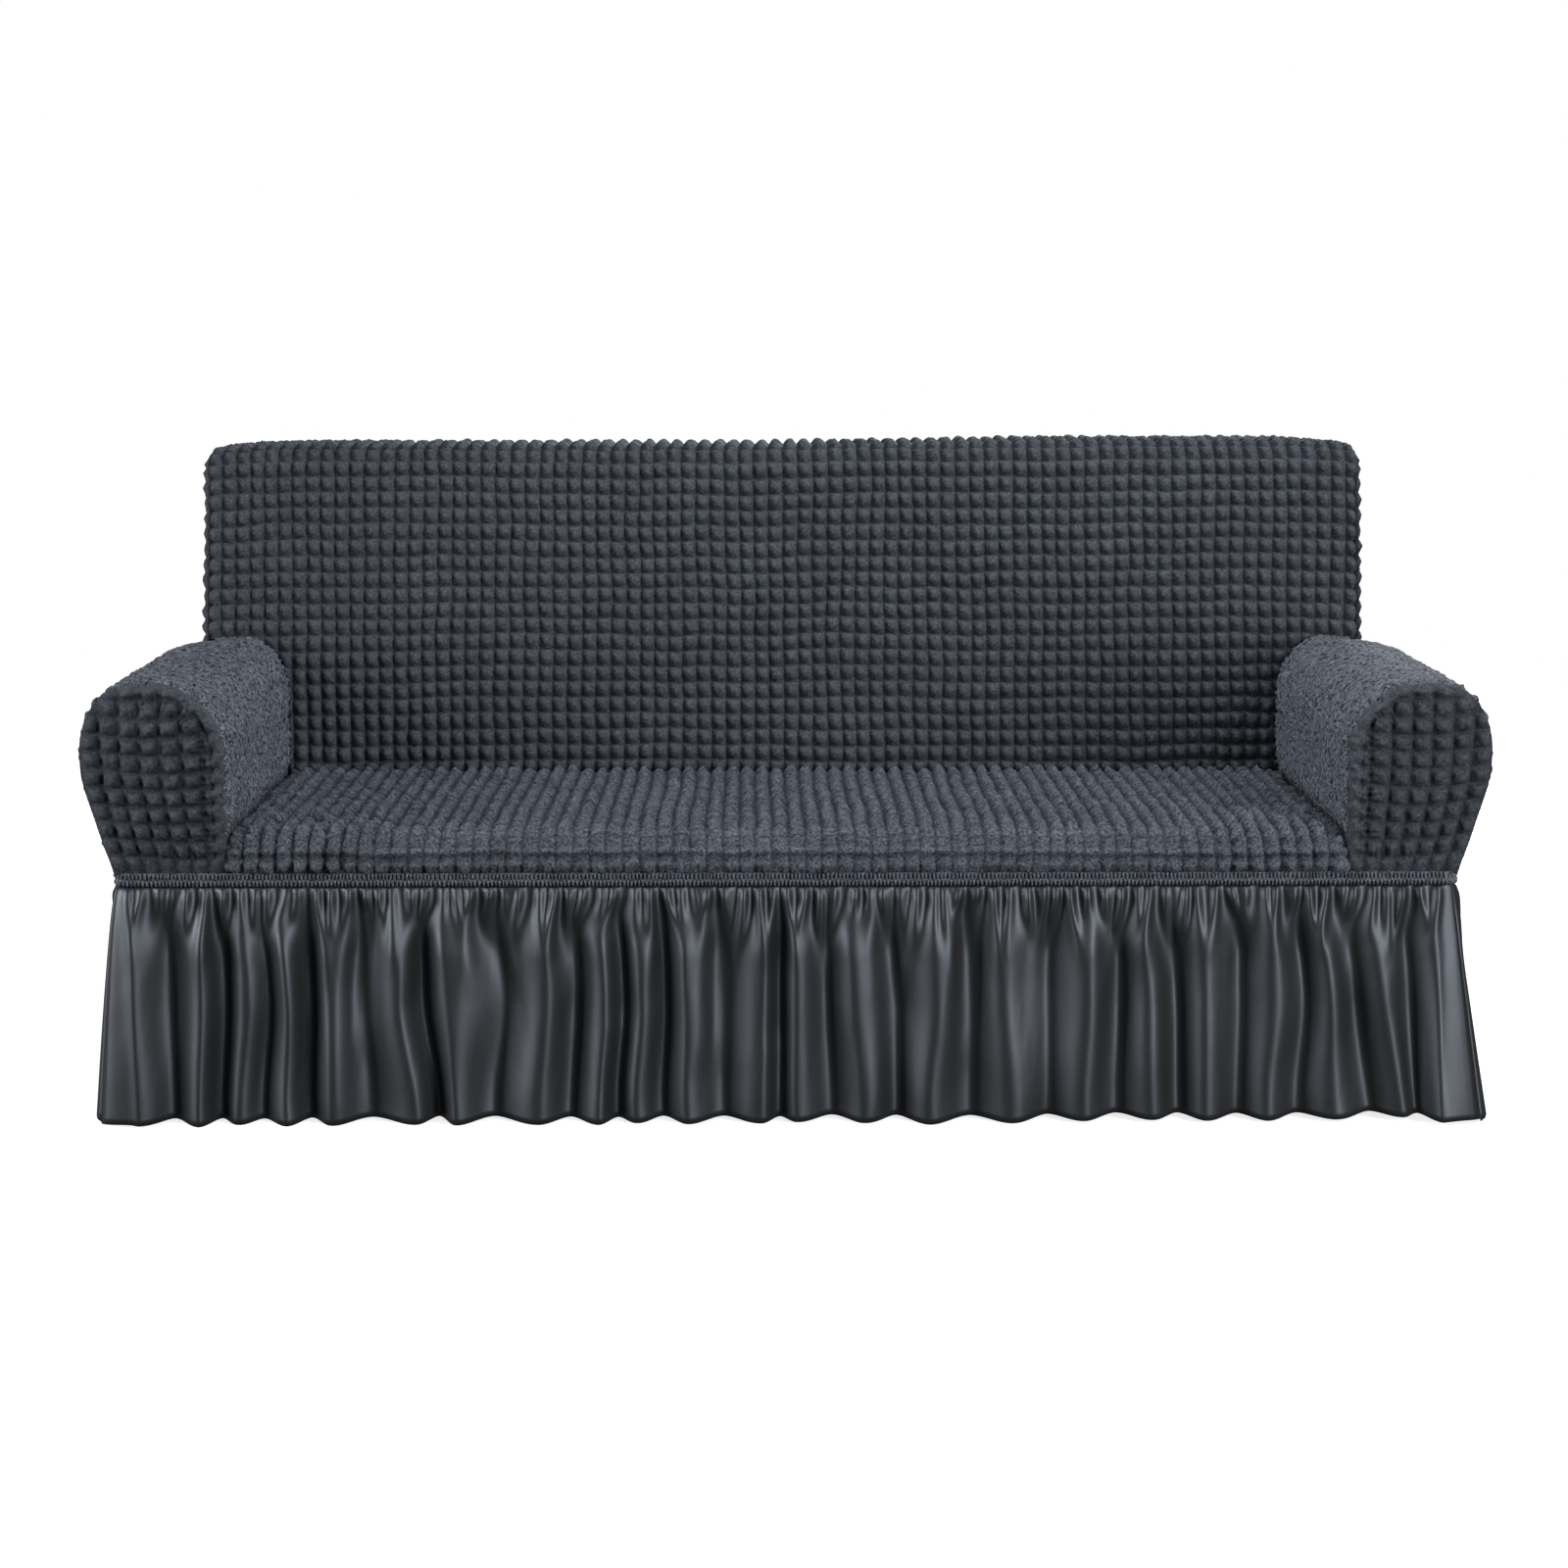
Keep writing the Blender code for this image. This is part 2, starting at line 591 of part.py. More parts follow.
def skirt_columns(folds, reach, per_fold):
    """(place at the band, place at the hem, crest -1..1, depth, hem height) of each column."""
    flare_share = reach / (reach + SKIRT_FLARE)
    columns = []
    for i, fold in enumerate(folds[:-1]):
        after = folds[i + 1]
        for step in range(per_fold):
            share = step / per_fold
            columns.append(
                (
                    mix(fold.top, after.top, share) / 1000,
                    mix(fold.hem, after.hem, share) / 1000 * flare_share,
                    math.cos(2 * math.pi * share),
                    mix(fold.depth, after.depth, share) / 1000,
                    mix(fold.lift, after.lift, share) / 1000,
                )
            )
    first = folds[0]
    last = folds[-1]
    start = (-reach, -reach, 0.3, first.depth / 1000, first.lift / 1000)
    ridge = (last.top / 1000, last.hem / 1000 * flare_share, 1.0, last.depth / 1000, last.lift / 1000)
    end = (reach, reach, 0.3, last.depth / 1000, last.lift / 1000)
    inner = [c for c in columns + [ridge] if abs(c[0]) < reach - 0.006 and abs(c[1]) < reach - 0.006]
    return [start, *inner, end]


def make_skirt(name, side, folds, per_fold, group, material):
    """One side of the skirt: tight gathers under the band that run together into broad folds."""
    reach = side_reach(side) - SKIRT_SEAM / 2
    columns = skirt_columns(folds, reach, per_fold)
    rows = []
    for level in SKIRT_LEVELS:
        broad = smooth(level / FOLD_FULL)
        row = []
        for index, (top, hem, crest, depth, lift) in enumerate(columns):
            along = mix(top, hem, level)
            gather = SKIRT_GATHER * (-1) ** index * max(0.0, 1 - 3 * level)
            ends = 0.0 if index in (0, len(columns) - 1) else 1.0
            outset = SKIRT_FLARE * level + (0.5 * depth * crest * broad + gather) * ends
            outset += corner_outset(side, along, level)
            x, y = plan_point(side, along, outset)
            row.append(Vector((x, y, mix(SKIRT_TOP, lift + HEM_CLEARANCE, level))))
        rows.append(row)
    return cloth_from_rows(name, rows, SATIN, group, material, turn=True)


# ---------------------------------------------------------------- assembly
def main():
    clear_scene()
    cover = new_collection("sofa_cover")
    cutters = new_collection("cutters")
    bubble = new_material("bubble cloth", BUBBLE_BACK_COLOUR, 0.85)
    arm_cloth = new_material("bubble cloth of the arms", BUBBLE_ARM_COLOUR, 0.9)
    elastic = new_material("shirred elastic", BAND_COLOUR, 0.8)
    satin = new_material("satin", SATIN_COLOUR, 0.4)

    make_seat(cover, bubble)
    make_inside_back(cover, cutters, bubble)
    make_outside_back(cover, bubble)
    for side, word in ((-1, "left"), (1, "right")):
        make_arm_wrap(f"arm_panel_{word}", side, cover, arm_cloth)
        make_arm_front(f"arm_front_{word}", side, cover, bubble)
    make_band(cover, elastic)
    make_skirt("skirt_front", "front", FRONT_FOLDS, FOLD_COLUMNS, cover, satin)
    for side, pitch in (("right", SIDE_FOLD_PITCH), ("rear", REAR_FOLD_PITCH), ("left", SIDE_FOLD_PITCH)):
        folds = hidden_folds(side, pitch)
        make_skirt(f"skirt_{side}", side, folds, HIDDEN_FOLD_COLUMNS, cover, satin)


main()
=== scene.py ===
"""Looks of a fitted stretch cover for a three-seat sofa with rolled arms.

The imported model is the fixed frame. Each of its panels is dressed here as a thin closed sheet of its own
cloth: bubble cloth on the back, seat and arm fronts, the same cloth pulled finer over the arms, a shirred
elastic band and a gathered satin skirt. Metres, +Z up, the front at -Y. Left and right are the viewer's,
facing the front.
"""

import logging
import math
from collections.abc import Mapping, Sequence
from dataclasses import astuple, dataclass
from enum import Enum

import bpy
import numpy as np
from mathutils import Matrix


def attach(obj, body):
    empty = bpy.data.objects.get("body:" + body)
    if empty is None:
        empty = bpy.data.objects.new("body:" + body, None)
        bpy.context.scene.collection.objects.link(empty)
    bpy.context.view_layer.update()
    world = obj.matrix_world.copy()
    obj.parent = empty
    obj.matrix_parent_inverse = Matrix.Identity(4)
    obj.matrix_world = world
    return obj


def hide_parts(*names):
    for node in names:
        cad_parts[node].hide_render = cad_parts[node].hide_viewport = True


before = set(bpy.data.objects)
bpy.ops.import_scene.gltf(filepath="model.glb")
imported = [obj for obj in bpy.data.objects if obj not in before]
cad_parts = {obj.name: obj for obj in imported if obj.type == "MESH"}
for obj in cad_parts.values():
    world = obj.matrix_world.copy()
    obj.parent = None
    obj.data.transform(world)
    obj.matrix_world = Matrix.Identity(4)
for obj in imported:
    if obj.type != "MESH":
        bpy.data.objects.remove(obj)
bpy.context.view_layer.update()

log = logging.getLogger("sofa_cover")

BODY = "root"
MM = 0.001
WHITE = (1.0, 1.0, 1.0, 1.0)
DOWN = (0.0, 0.0, -1.0)
FORWARD = (0.0, -1.0, 0.0)
CELL = 0.0245  # width of one bubble on the back, and the unit of the cloth's UV map
UV_NAME = "cloth"
PULL_NAME = "pulled_flat"  # 1 where the cloth is stretched flat, 0 where it puffs up


class Side(Enum):
    """One side of the cover, seen from above."""

    FRONT = "front"
    RIGHT = "right"
    REAR = "rear"
    LEFT = "left"


class Hand(Enum):
    """An arm of the sofa. Its value is the sign of x there."""

    LEFT = -1
    RIGHT = 1


# ---------------------------------------------------------------- numbers
def mix(a: np.ndarray, b: np.ndarray, t: np.ndarray) -> np.ndarray:
    """The value a share t of the way from a to b."""
    return a + (b - a) * t


def ease(t: np.ndarray) -> np.ndarray:
    """0 to 1 as t goes from 0 to 1, flat at both ends."""
    t = np.clip(t, 0.0, 1.0)
    return t * t * (3.0 - 2.0 * t)


def hashed(i: np.ndarray, j: np.ndarray, seed: float) -> np.ndarray:
    """A fixed value from 0 to 1 for each pair of whole numbers, and another one with another seed."""
    value = np.sin(i * 127.1 + j * 311.7 + seed * 74.7) * 43758.5453
    return value - np.floor(value)


def soft_noise(x: np.ndarray, y: np.ndarray, seed: float) -> np.ndarray:
    """Smooth noise from -1 to 1 whose waves are about one unit long.

    Args:
        x: first coordinates.
        y: second coordinates, of the same shape.
        seed: tells one noise from another.

    Returns:
        An array of the shape of x and y.
    """
    i = np.floor(x)
    j = np.floor(y)
    u = ease(x - i)
    v = ease(y - j)
    low = mix(hashed(i, j, seed), hashed(i + 1, j, seed), u)
    high = mix(hashed(i, j + 1, seed), hashed(i + 1, j + 1, seed), u)
    return 2.0 * mix(low, high, v) - 1.0


def sag(a: np.ndarray, b: np.ndarray, phase: float) -> np.ndarray:
    """The slow, uneven swell of the cloth over the upholstery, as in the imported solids.

    Args:
        a: first coordinates.
        b: second coordinates, of the same shape.
        phase: tells one panel from another.

    Returns:
        Values from -1 to 1.
    """
    one = np.sin(7.3 * a + 2.1 * b + phase)
    two = np.sin(3.1 * a - 8.7 * b + 1.7 * phase)
    three = np.sin(13.9 * a + 5.3 * b + 0.6 * phase)
    return 0.5 * one + 0.3 * two + 0.2 * three


def smooth_line(points: np.ndarray, shares: np.ndarray) -> np.ndarray:
    """Places on a smooth curve through points.

    Args:
        points: the points that the curve runs through, one to a row.
        shares: how far along the curve each place is, from 0 to 1 of its length.

    Returns:
        One place to a row.
    """
    padded = np.vstack([2 * points[0] - points[1], points, 2 * points[-1] - points[-2]])
    before, start, end, after = padded[:-3], padded[1:-2], padded[2:-1], padded[3:]
    t = (np.arange(12) / 12)[None, :, None]
    before, start, end, after = (part[:, None, :] for part in (before, start, end, after))
    curve = 0.5 * (
        2 * start
        + (end - before) * t
        + (2 * before - 5 * start + 4 * end - after) * t**2
        + (3 * start - before - 3 * end + after) * t**3
    )
    dense = np.vstack([curve.reshape(-1, points.shape[1]), points[-1]])
    run = np.concatenate([[0.0], np.cumsum(np.linalg.norm(np.diff(dense, axis=0), axis=1))])
    wanted = shares * run[-1]
    return np.stack([np.interp(wanted, run, dense[:, k]) for k in range(points.shape[1])], axis=-1)


# ---------------------------------------------------------------- the sofa's form under the cloth
@dataclass(frozen=True)
class SofaForm:
    """Sizes of the covered sofa, in metres, and the lines that its panels follow. They repeat the solids'."""

    cloth: float = 0.002
    seam_gap: float = 0.0004
    foot_z: float = 0.3798
    front_y: float = -0.438
    rear_y: float = 0.462
    half_body: float = 1.000
    plan_corner: float = 0.020
    band_top: float = 0.379
    band_height: float = 0.021
    band_bulge: float = 0.002
    seat_top: float = 0.433
    seat_edge_radius: float = 0.040
    seat_crown: float = 0.007
    arm_inner_x: float = 0.8355
    arm_roll_radius: float = 0.105
    arm_roll_outer: float = 0.108
    arm_roll_z: float = 0.556
    arm_shoulder: float = 0.7
    arm_rear_shoulder: float = 0.5
    arm_rear_drop: float = 0.006
    arm_taper_start_y: float = 0.035
    arm_rim: float = 0.012
    arm_rim_foot: float = 0.005
    arm_rim_seam: float = 0.0014
    arm_front_dome: float = 0.008
    arm_outer: tuple[tuple[float, float, float], ...] = (
        (1.0455, 0.9800, 0.515),
        (1.0285, 0.9865, 0.455),
        (1.0155, 0.9950, 0.415),
        (1.0010, 1.0000, 0.3798),
    )  # front x, rear x and height of the arm's outer side
    back_foot_y: float = 0.185
    back_lean: float = 0.143
    back_top: float = 0.973
    back_top_rise: float = 0.0065
    back_end_start: float = 0.80
    back_end_drop: float = 0.010
    back_edge_radius: float = 0.045
    back_top_rear_y: float = 0.435
    back_half_low: float = 0.977
    back_half_high: float = 0.973
    back_narrowing: float = 0.25
    back_side_round: float = 0.030
    back_rear_drop: float = 0.004
    arm_cut_top: float = 0.652
    skirt_flare: float = 0.024
    fold_full: float = 0.30
    corner_reach: float = 0.070
    skirt_seam: float = 0.0001
    hem_clearance: float = 0.0005

    @property
    def arm_roll_x(self) -> float:
        """Distance of the roll's axis from the middle."""
        return self.arm_inner_x + self.arm_roll_radius

    @property
    def arm_rear_half(self) -> float:
        """Half width of the roll where it meets the back."""
        return (self.back_half_low + self.cloth - self.arm_inner_x) / 2

    @property
    def skirt_top(self) -> float:
        """Height of the skirt's seam with the band."""
        return self.band_top - self.band_height - self.seam_gap

    def back_face_y(self, z: np.ndarray) -> np.ndarray:
        """The inside back's plane at each height."""
        return self.back_foot_y + self.back_lean * np.maximum(0.0, z - self.seat_top)

    def back_half_width(self, z: np.ndarray) -> np.ndarray:
        """Half the back's width at each height."""
        share = np.clip((z - self.arm_cut_top) / self.back_narrowing, 0.0, 1.0)
        return mix(self.back_half_low, self.back_half_high, share)

    def back_top_z(self, x: np.ndarray) -> np.ndarray:
        """Height of the back's top, which rises a little to the right and falls away softly at both ends.

        Args:
            x: distances from the middle, to the right.

        Returns:
            Heights in metres.
        """
        rise = self.back_top_rise * ease((x + 0.05) / 0.55)
        past = np.maximum(0.0, np.abs(x) - self.back_end_start) / (self.back_half_high - self.back_end_start)
        return self.back_top + rise - self.back_end_drop * past**2

    def rear_face_y(self, z: np.ndarray) -> np.ndarray:
        """The outside back, which leans in slightly towards the top."""
        return mix(self.rear_y, self.back_top_rear_y, (z - self.band_top) / (self.back_top - self.band_top))

    def side_half(self, z: np.ndarray) -> np.ndarray:
        """Half width of the boxed sides."""
        return mix(self.half_body, self.back_half_width(z), ease((z - self.band_top) / 0.12))

    def arm_rim_depth(self, z: np.ndarray) -> np.ndarray:
        """How far the rounded rim of an arm front turns back at each height."""
        return mix(self.arm_rim_foot, self.arm_rim, ease((z - self.band_top) / 0.08))

    def arm_section(self, y: float, foot_z: float) -> np.ndarray:
        """The right arm's section at y, from the seat over the roll to the band.

        Args:
            y: distance along the arm.
            foot_z: height at which the section starts, beside the seat.

        Returns:
            x and z of each point, one point to a row.
        """
        t = float(ease((y - self.arm_taper_start_y) / (self.back_foot_y - self.arm_taper_start_y)))
        rear_half = self.arm_rear_half
        rear_roll_x = self.arm_inner_x + rear_half
        rear_radius = self.arm_roll_radius - self.arm_rear_drop
        points = [(self.arm_inner_x, z) for z in (foot_z, 0.475, 0.515)]
        for step in range(13):
            c = math.cos(math.pi * step / 12)
            s = math.sin(math.pi * step / 12)
            front_z = self.arm_roll_z + self.arm_roll_radius * s
            rear_z = self.arm_roll_z + rear_radius * s
            if c >= 0:
                front_x = self.arm_roll_x - self.arm_roll_radius * c
                rear_x = rear_roll_x - rear_half * c
            else:
                front_x = self.arm_roll_x + self.arm_roll_outer * (-c) ** self.arm_shoulder
                rear_x = rear_roll_x + rear_half * (-c) ** self.arm_rear_shoulder
                rear_z = self.arm_roll_z + rear_radius * s**self.arm_rear_shoulder
            points.append((mix(front_x, rear_x, t), mix(front_z, rear_z, t)))
        points += [(mix(front_x, rear_x, t), z) for front_x, rear_x, z in self.arm_outer]
        return np.array(points)

    def side_reach(self, side: Side) -> float:
        """How far along a side its corner's middle lies from the side's own middle.

        Args:
            side: the side of the cover.

        Returns:
            The distance in metres.
        """
        across = side in (Side.FRONT, Side.REAR)
        half = self.half_body if across else (self.rear_y - self.front_y) / 2
        return half - self.plan_corner + self.plan_corner * math.pi / 4

    def plan_point(self, side: Side, along: np.ndarray, outset: np.ndarray) -> tuple[np.ndarray, np.ndarray]:
        """Points on one side of the cover's outline, seen from above.

        Args:
            side: the side of the cover.
            along: distances from that side's middle, which run round the corner past its straight part.
            outset: how far each point is pushed outwards.

        Returns:
            x and y of the points.
        """
        middle_y = (self.front_y + self.rear_y) / 2
        half_depth = (self.rear_y - self.front_y) / 2
        across = side in (Side.FRONT, Side.REAR)
        half = self.half_body if across else half_depth
        other = half_depth if across else self.half_body
        reach = np.minimum(np.abs(along), half - self.plan_corner)
        turn = (np.abs(along) - reach) / self.plan_corner
        right = np.sign(along) * (reach + (self.plan_corner + outset) * np.sin(turn))
        out = other - self.plan_corner + (self.plan_corner + outset) * np.cos(turn)
        places = {
            Side.FRONT: (right, middle_y - out),
            Side.RIGHT: (out, middle_y + right),
            Side.REAR: (-right, middle_y + out),
            Side.LEFT: (-out, middle_y - right),
        }
        return places[side]


# ---------------------------------------------------------------- nodes and colours
def linear(code: str) -> tuple[float, float, float, float]:
    """An sRGB hex colour as linear red, green, blue and alpha.

    Args:
        code: six hex digits after a #.

    Returns:
        The four values, with an alpha of 1.
    """
    parts = [int(code[i : i + 2], 16) / 255 for i in (1, 3, 5)]
    red, green, blue = (c / 12.92 if c <= 0.04045 else ((c + 0.055) / 1.055) ** 2.4 for c in parts)
    return red, green, blue, 1.0


def fill(node: bpy.types.Node, sockets: Mapping[str | int, object]) -> None:
    """Fills a node's input sockets.

    Args:
        node: the node.
        sockets: a value for each input socket, or the output socket that is linked to it.
    """
    for name, value in sockets.items():
        if isinstance(value, bpy.types.NodeSocket):
            node.id_data.links.new(value, node.inputs[name])
        else:
            node.inputs[name].default_value = value


def add_node(
    tree: bpy.types.NodeTree, kind: str, sockets: Mapping[str | int, object] | None = None, **settings: object
) -> bpy.types.NodeSocket:
    """Adds a node with its settings and links.

    Args:
        tree: the node tree.
        kind: the node's type name after ShaderNode.
        sockets: a value or a link for each input socket.
        settings: the node's own properties.

    Returns:
        The first output that these settings leave in use.
    """
    node = tree.nodes.new("ShaderNode" + kind)
    for name, value in settings.items():
        setattr(node, name, value)
    fill(node, sockets or {})
    return next(socket for socket in node.outputs if socket.enabled)


@dataclass(frozen=True)
class Finish:
    """What a piece is made of."""

    name: str

    def sockets(self, tree: bpy.types.NodeTree) -> dict[str, object]:
        """Values and links for the shader's sockets, by their names. Each kind of finish has its own."""
        raise NotImplementedError

    def material(self) -> bpy.types.Material:
        """The finish as a material.

        Returns:
            The material, named after the finish.
        """
        material = bpy.data.materials.new(self.name)
        material.use_nodes = True
        fill(material.node_tree.nodes["Principled BSDF"], self.sockets(material.node_tree))
        return material


@dataclass(frozen=True)
class Knit(Finish):
    """Polyester knit with elastane threads: matt and crumpled, with a soft fuzz that pales at the edges."""

    crumple_mm: float = 6.0
    crumple_depth_mm: float = 2.8
    crumple_bend: float = 0.6
    yarn_mm: float = 5.0  # real loops are under 1 mm wide, and are drawn as coarse as they need to show
    yarn_depth_mm: float = 1.3
    grain: tuple[float, float] = (0.6, 1.4)  # tone of the yarn, from its darkest loops to its palest
    roughness: float = 0.86
    gloss: float = 0.25
    fuzz: str = "#9AA6B8"

    def crumple(self, tree: bpy.types.NodeTree) -> bpy.types.NodeSocket:
        """Makes the short crumples.

        Args:
            tree: the material's node tree.

        Returns:
            Their height.
        """
        place = add_node(tree, "TexCoord").node.outputs["Object"]
        size = {"Scale": 1 / (self.crumple_mm * MM), "Detail": 3.0, "Distortion": self.crumple_bend}
        return add_node(tree, "TexNoise", {"Vector": place, **size})

    def knitted(
        self,
        tree: bpy.types.NodeTree,
        crumple: bpy.types.NodeSocket,
        colour: bpy.types.NodeSocket,
        tone: bpy.types.NodeSocket | float = 1.0,
    ) -> dict[str, object]:
        """The shader's sockets for a colour in this knit.

        Args:
            tree: the material's node tree.
            crumple: the crumples' height.
            colour: the colour under the yarn's grain.
            tone: what makes the whole cloth paler or darker.

        Returns:
            Values and links by the sockets' names.
        """
        place = add_node(tree, "TexCoord").node.outputs["Object"]
        yarn = add_node(tree, "TexNoise", {"Vector": place, "Scale": 1 / (self.yarn_mm * MM), "Detail": 2.0})
        low, high = self.grain
        span = {0: yarn, "From Min": 0.3, "From Max": 0.7, "To Min": low, "To Max": high}
        loops = add_node(tree, "MapRange", span, clamp=False)
        grain = add_node(tree, "Math", {0: tone, 1: loops}, operation="MULTIPLY")
        shaded = add_node(tree, "Mix", {0: 1.0, 6: colour, 7: grain}, data_type="RGBA", blend_type="MULTIPLY")
        folds = add_node(tree, "Bump", {"Distance": self.crumple_depth_mm * MM, "Height": crumple})
        knit = add_node(tree, "Bump", {"Distance": self.yarn_depth_mm * MM, "Height": yarn, "Normal": folds})
        return {
            "Base Color": shaded,
            "Normal": knit,
            "Roughness": self.roughness,
            "Specular IOR Level": self.gloss,
            "Sheen Weight": 0.08,
            "Sheen Roughness": 0.4,
            "Sheen Tint": linear(self.fuzz),
        }


@dataclass(frozen=True)
class BubbleCloth(Knit):
    """Polyester seersucker knit.

    The elastic threads draw a square grid of thin grooves and the loose yarn between them puffs up. The
    colour
    holds painted shade: darker grooves, and a dark side on each puff as if lit from the upper right.
    """

    name: str = "polyester seersucker knit"
    crest: str = "#3F444C"
    # painted shade in the bands between the pads
    groove: str = "#33373D"
    # painted shade on the side of each puff away from the light
    painted_shade: str = "#15171B"
    flat: str = "#42474E"  # where it is pulled flat and its pale yarn lies open
    shade_way: tuple[float, float, float] = (-0.98, -0.45, 0.0)  # towards the side of each puff that is painted dark as shade
    shade_share: float = 0.92
    shade_span: tuple[float, float] = (0.02, 0.40)  # where the painted shade starts and ends, from the middle of a cell
    band_from: float = 0.34  # where the flat band starts, from the middle of a cell to 0.5 at its border
    band_fade: float = 0.14
    patch_scale: float = 9.0  # slow patches of tone, in waves to a metre

    def sockets(self, tree: bpy.types.NodeTree) -> dict[str, object]:
        """The cloth's sockets, coloured by the place in each cell of its grid.

        Args:
            tree: the material's node tree.

        Returns:
            Values and links by the sockets' names.
        """
        crumple = self.crumple(tree)
        place = add_node(tree, "TexCoord").node.outputs["Object"]
        patch = add_node(tree, "TexNoise", {"Vector": place, "Scale": self.patch_scale, "Detail": 2.0})
        cells = add_node(tree, "UVMap", uv_map=UV_NAME)
        share = add_node(tree, "VectorMath", {0: cells}, operation="FRACTION")
        centred = add_node(tree, "VectorMath", {0: share, 1: (0.5, 0.5, 0.0)}, operation="SUBTRACT")
        colours = crumple.node.outputs["Color"]
        stray = add_node(tree, "VectorMath", {0: colours, 1: (0.5, 0.5, 0.5)}, operation="SUBTRACT")
        frayed = add_node(
            tree, "VectorMath", {0: stray, 1: (0.5, 0.5, 0.0), 2: centred}, operation="MULTIPLY_ADD"
        )
        # Painted shade: each puff is coloured darker on one side, as if lit from the upper right.
        toward_shade = add_node(tree, "VectorMath", {0: frayed, 1: self.shade_way}, operation="DOT_PRODUCT")
        start, end = self.shade_span
        painted_shade_mask = add_node(
            tree,
            "MapRange",
            {0: toward_shade, "From Min": start, "From Max": end, "To Max": self.shade_share},
            interpolation_type="SMOOTHSTEP",
        )
        reach = add_node(tree, "VectorMath", {0: frayed}, operation="ABSOLUTE")
        axes = add_node(tree, "SeparateXYZ", {0: reach}).node.outputs
        edge = add_node(tree, "Math", {0: axes["X"], 1: axes["Y"]}, operation="MAXIMUM")
        # How far into the bands between the pads, which are painted darker as shade.
        depth = add_node(
            tree,
            "MapRange",
            {0: edge, "From Min": self.band_from, "From Max": self.band_from + self.band_fade},
            interpolation_type="SMOOTHSTEP",
        )
        pulled = add_node(tree, "Attribute", attribute_name=PULL_NAME).node.outputs["Fac"]
        colour: object = linear(self.crest)
        for how_far, code in ((depth, self.groove), (painted_shade_mask, self.painted_shade), (pulled, self.flat)):
            colour = add_node(tree, "Mix", {0: how_far, 6: colour, 7: linear(code)}, data_type="RGBA")
        span = {0: patch, "From Min": 0.3, "From Max": 0.7, "To Min": 0.9, "To Max": 1.1}
        return self.knitted(tree, crumple, colour, add_node(tree, "MapRange", span))


@dataclass(frozen=True)
class PuckeredCloth(Knit):
    """The same knit pulled flat over the arms, where its puffs close to puckers with pits between, painted
    dark as shade.
    """

    name: str = "stretched seersucker knit"
    crumple_depth_mm: float = 4.2
    crumple_bend: float = 0.9
    yarn_mm: float = 4.0
    yarn_depth_mm: float = 1.6
    roughness: float = 0.9
    gloss: float = 0.2
    light: str = "#6E7480"
    # painted shade in the pits between the puckers
    pit_shade: str = "#1C1E22"
    pits: tuple[float, float] = (0.36, 0.60)  # heights of the crumples between which the painted shade in the pits turns to the pale puckers

    def sockets(self, tree: bpy.types.NodeTree) -> dict[str, object]:
        """The cloth's sockets, with painted shade where its puckers are low.

        Args:
            tree: the material's node tree.

        Returns:
            Values and links by the sockets' names.
        """
        crumple = self.crumple(tree)
        low, high = self.pits
        span = {0: crumple, "From Min": low, "From Max": high}
        unshaded = add_node(tree, "MapRange", span, interpolation_type="SMOOTHSTEP")
        shades = {0: unshaded, 6: linear(self.pit_shade), 7: linear(self.light)}
        return self.knitted(tree, crumple, add_node(tree, "Mix", shades, data_type="RGBA"))


@dataclass(frozen=True)
class ShirredElastic(Finish):
    """Polyester over rows of elastic thread, drawn into fine upright ribs: matt, with a faint yarn grain."""

    name: str = "shirred polyester elastic"
    colour: str = "#5D626C"
    yarn_mm: float = 2.4  # real yarn is about 0.3 mm thick, and is drawn as coarse as it needs to show
    yarn_depth_mm: float = 0.8

    def sockets(self, tree: bpy.types.NodeTree) -> dict[str, object]:
        """The band's sockets.

        Args:
            tree: the material's node tree.

        Returns:
            Values and links by the sockets' names.
        """
        place = add_node(tree, "TexCoord").node.outputs["Object"]
        yarn = add_node(tree, "TexNoise", {"Vector": place, "Scale": 1 / (self.yarn_mm * MM), "Detail": 2.0})
        span = {0: yarn, "From Min": 0.35, "From Max": 0.65, "To Min": 0.15, "To Max": 1.75}
        tone = add_node(tree, "MapRange", span)
        shades = {0: 1.0, 6: linear(self.colour), 7: tone}
        return {
            "Base Color": add_node(tree, "Mix", shades, data_type="RGBA", blend_type="MULTIPLY"),
            "Normal": add_node(tree, "Bump", {"Distance": self.yarn_depth_mm * MM, "Height": yarn}),
            "Roughness": 0.75,
            "Specular IOR Level": 0.3,
        }


@dataclass(frozen=True)
class Satin(Finish):
    """Polyester satin: its long floats give soft highlights down the folds, over a dark, brownish ground."""

    name: str = "polyester satin"
    colour: str = "#151413"
    sheen: str = "#CFD9E7"
    # Width in millimetres, length in widths, detail, and depth in millimetres: of the slow ripples, then of
    # the threads. Real floats are about 0.2 mm wide, and are drawn as coarse as they need to show.
    relief: tuple[tuple[float, float, float, float], ...] = ((26.0, 4, 1.5, 1.4), (1.2, 12, 2.0, 0.05))

    def sockets(self, tree: bpy.types.NodeTree) -> dict[str, object]:
        """The skirt's sockets, with ripples and threads that run down it.

        Args:
            tree: the material's node tree.

        Returns:
            Values and links by the sockets' names.
        """
        cells = add_node(tree, "UVMap", uv_map=UV_NAME)
        under: dict[str, object] = {}
        for width, length, detail, depth in self.relief:
            scale = (CELL / (width * MM), CELL / (length * width * MM), 1.0)
            upright = add_node(tree, "Mapping", {"Vector": cells, "Scale": scale}, vector_type="POINT")
            noise = add_node(tree, "TexNoise", {"Vector": upright, "Scale": 1.0, "Detail": detail})
            under = {"Normal": add_node(tree, "Bump", {"Distance": depth * MM, "Height": noise, **under})}
        return {
            **under,
            "Base Color": linear(self.colour),
            "Roughness": 0.50,
            "IOR": 1.58,
            "Specular IOR Level": 1.0,
            "Specular Tint": linear(self.sheen),
        }


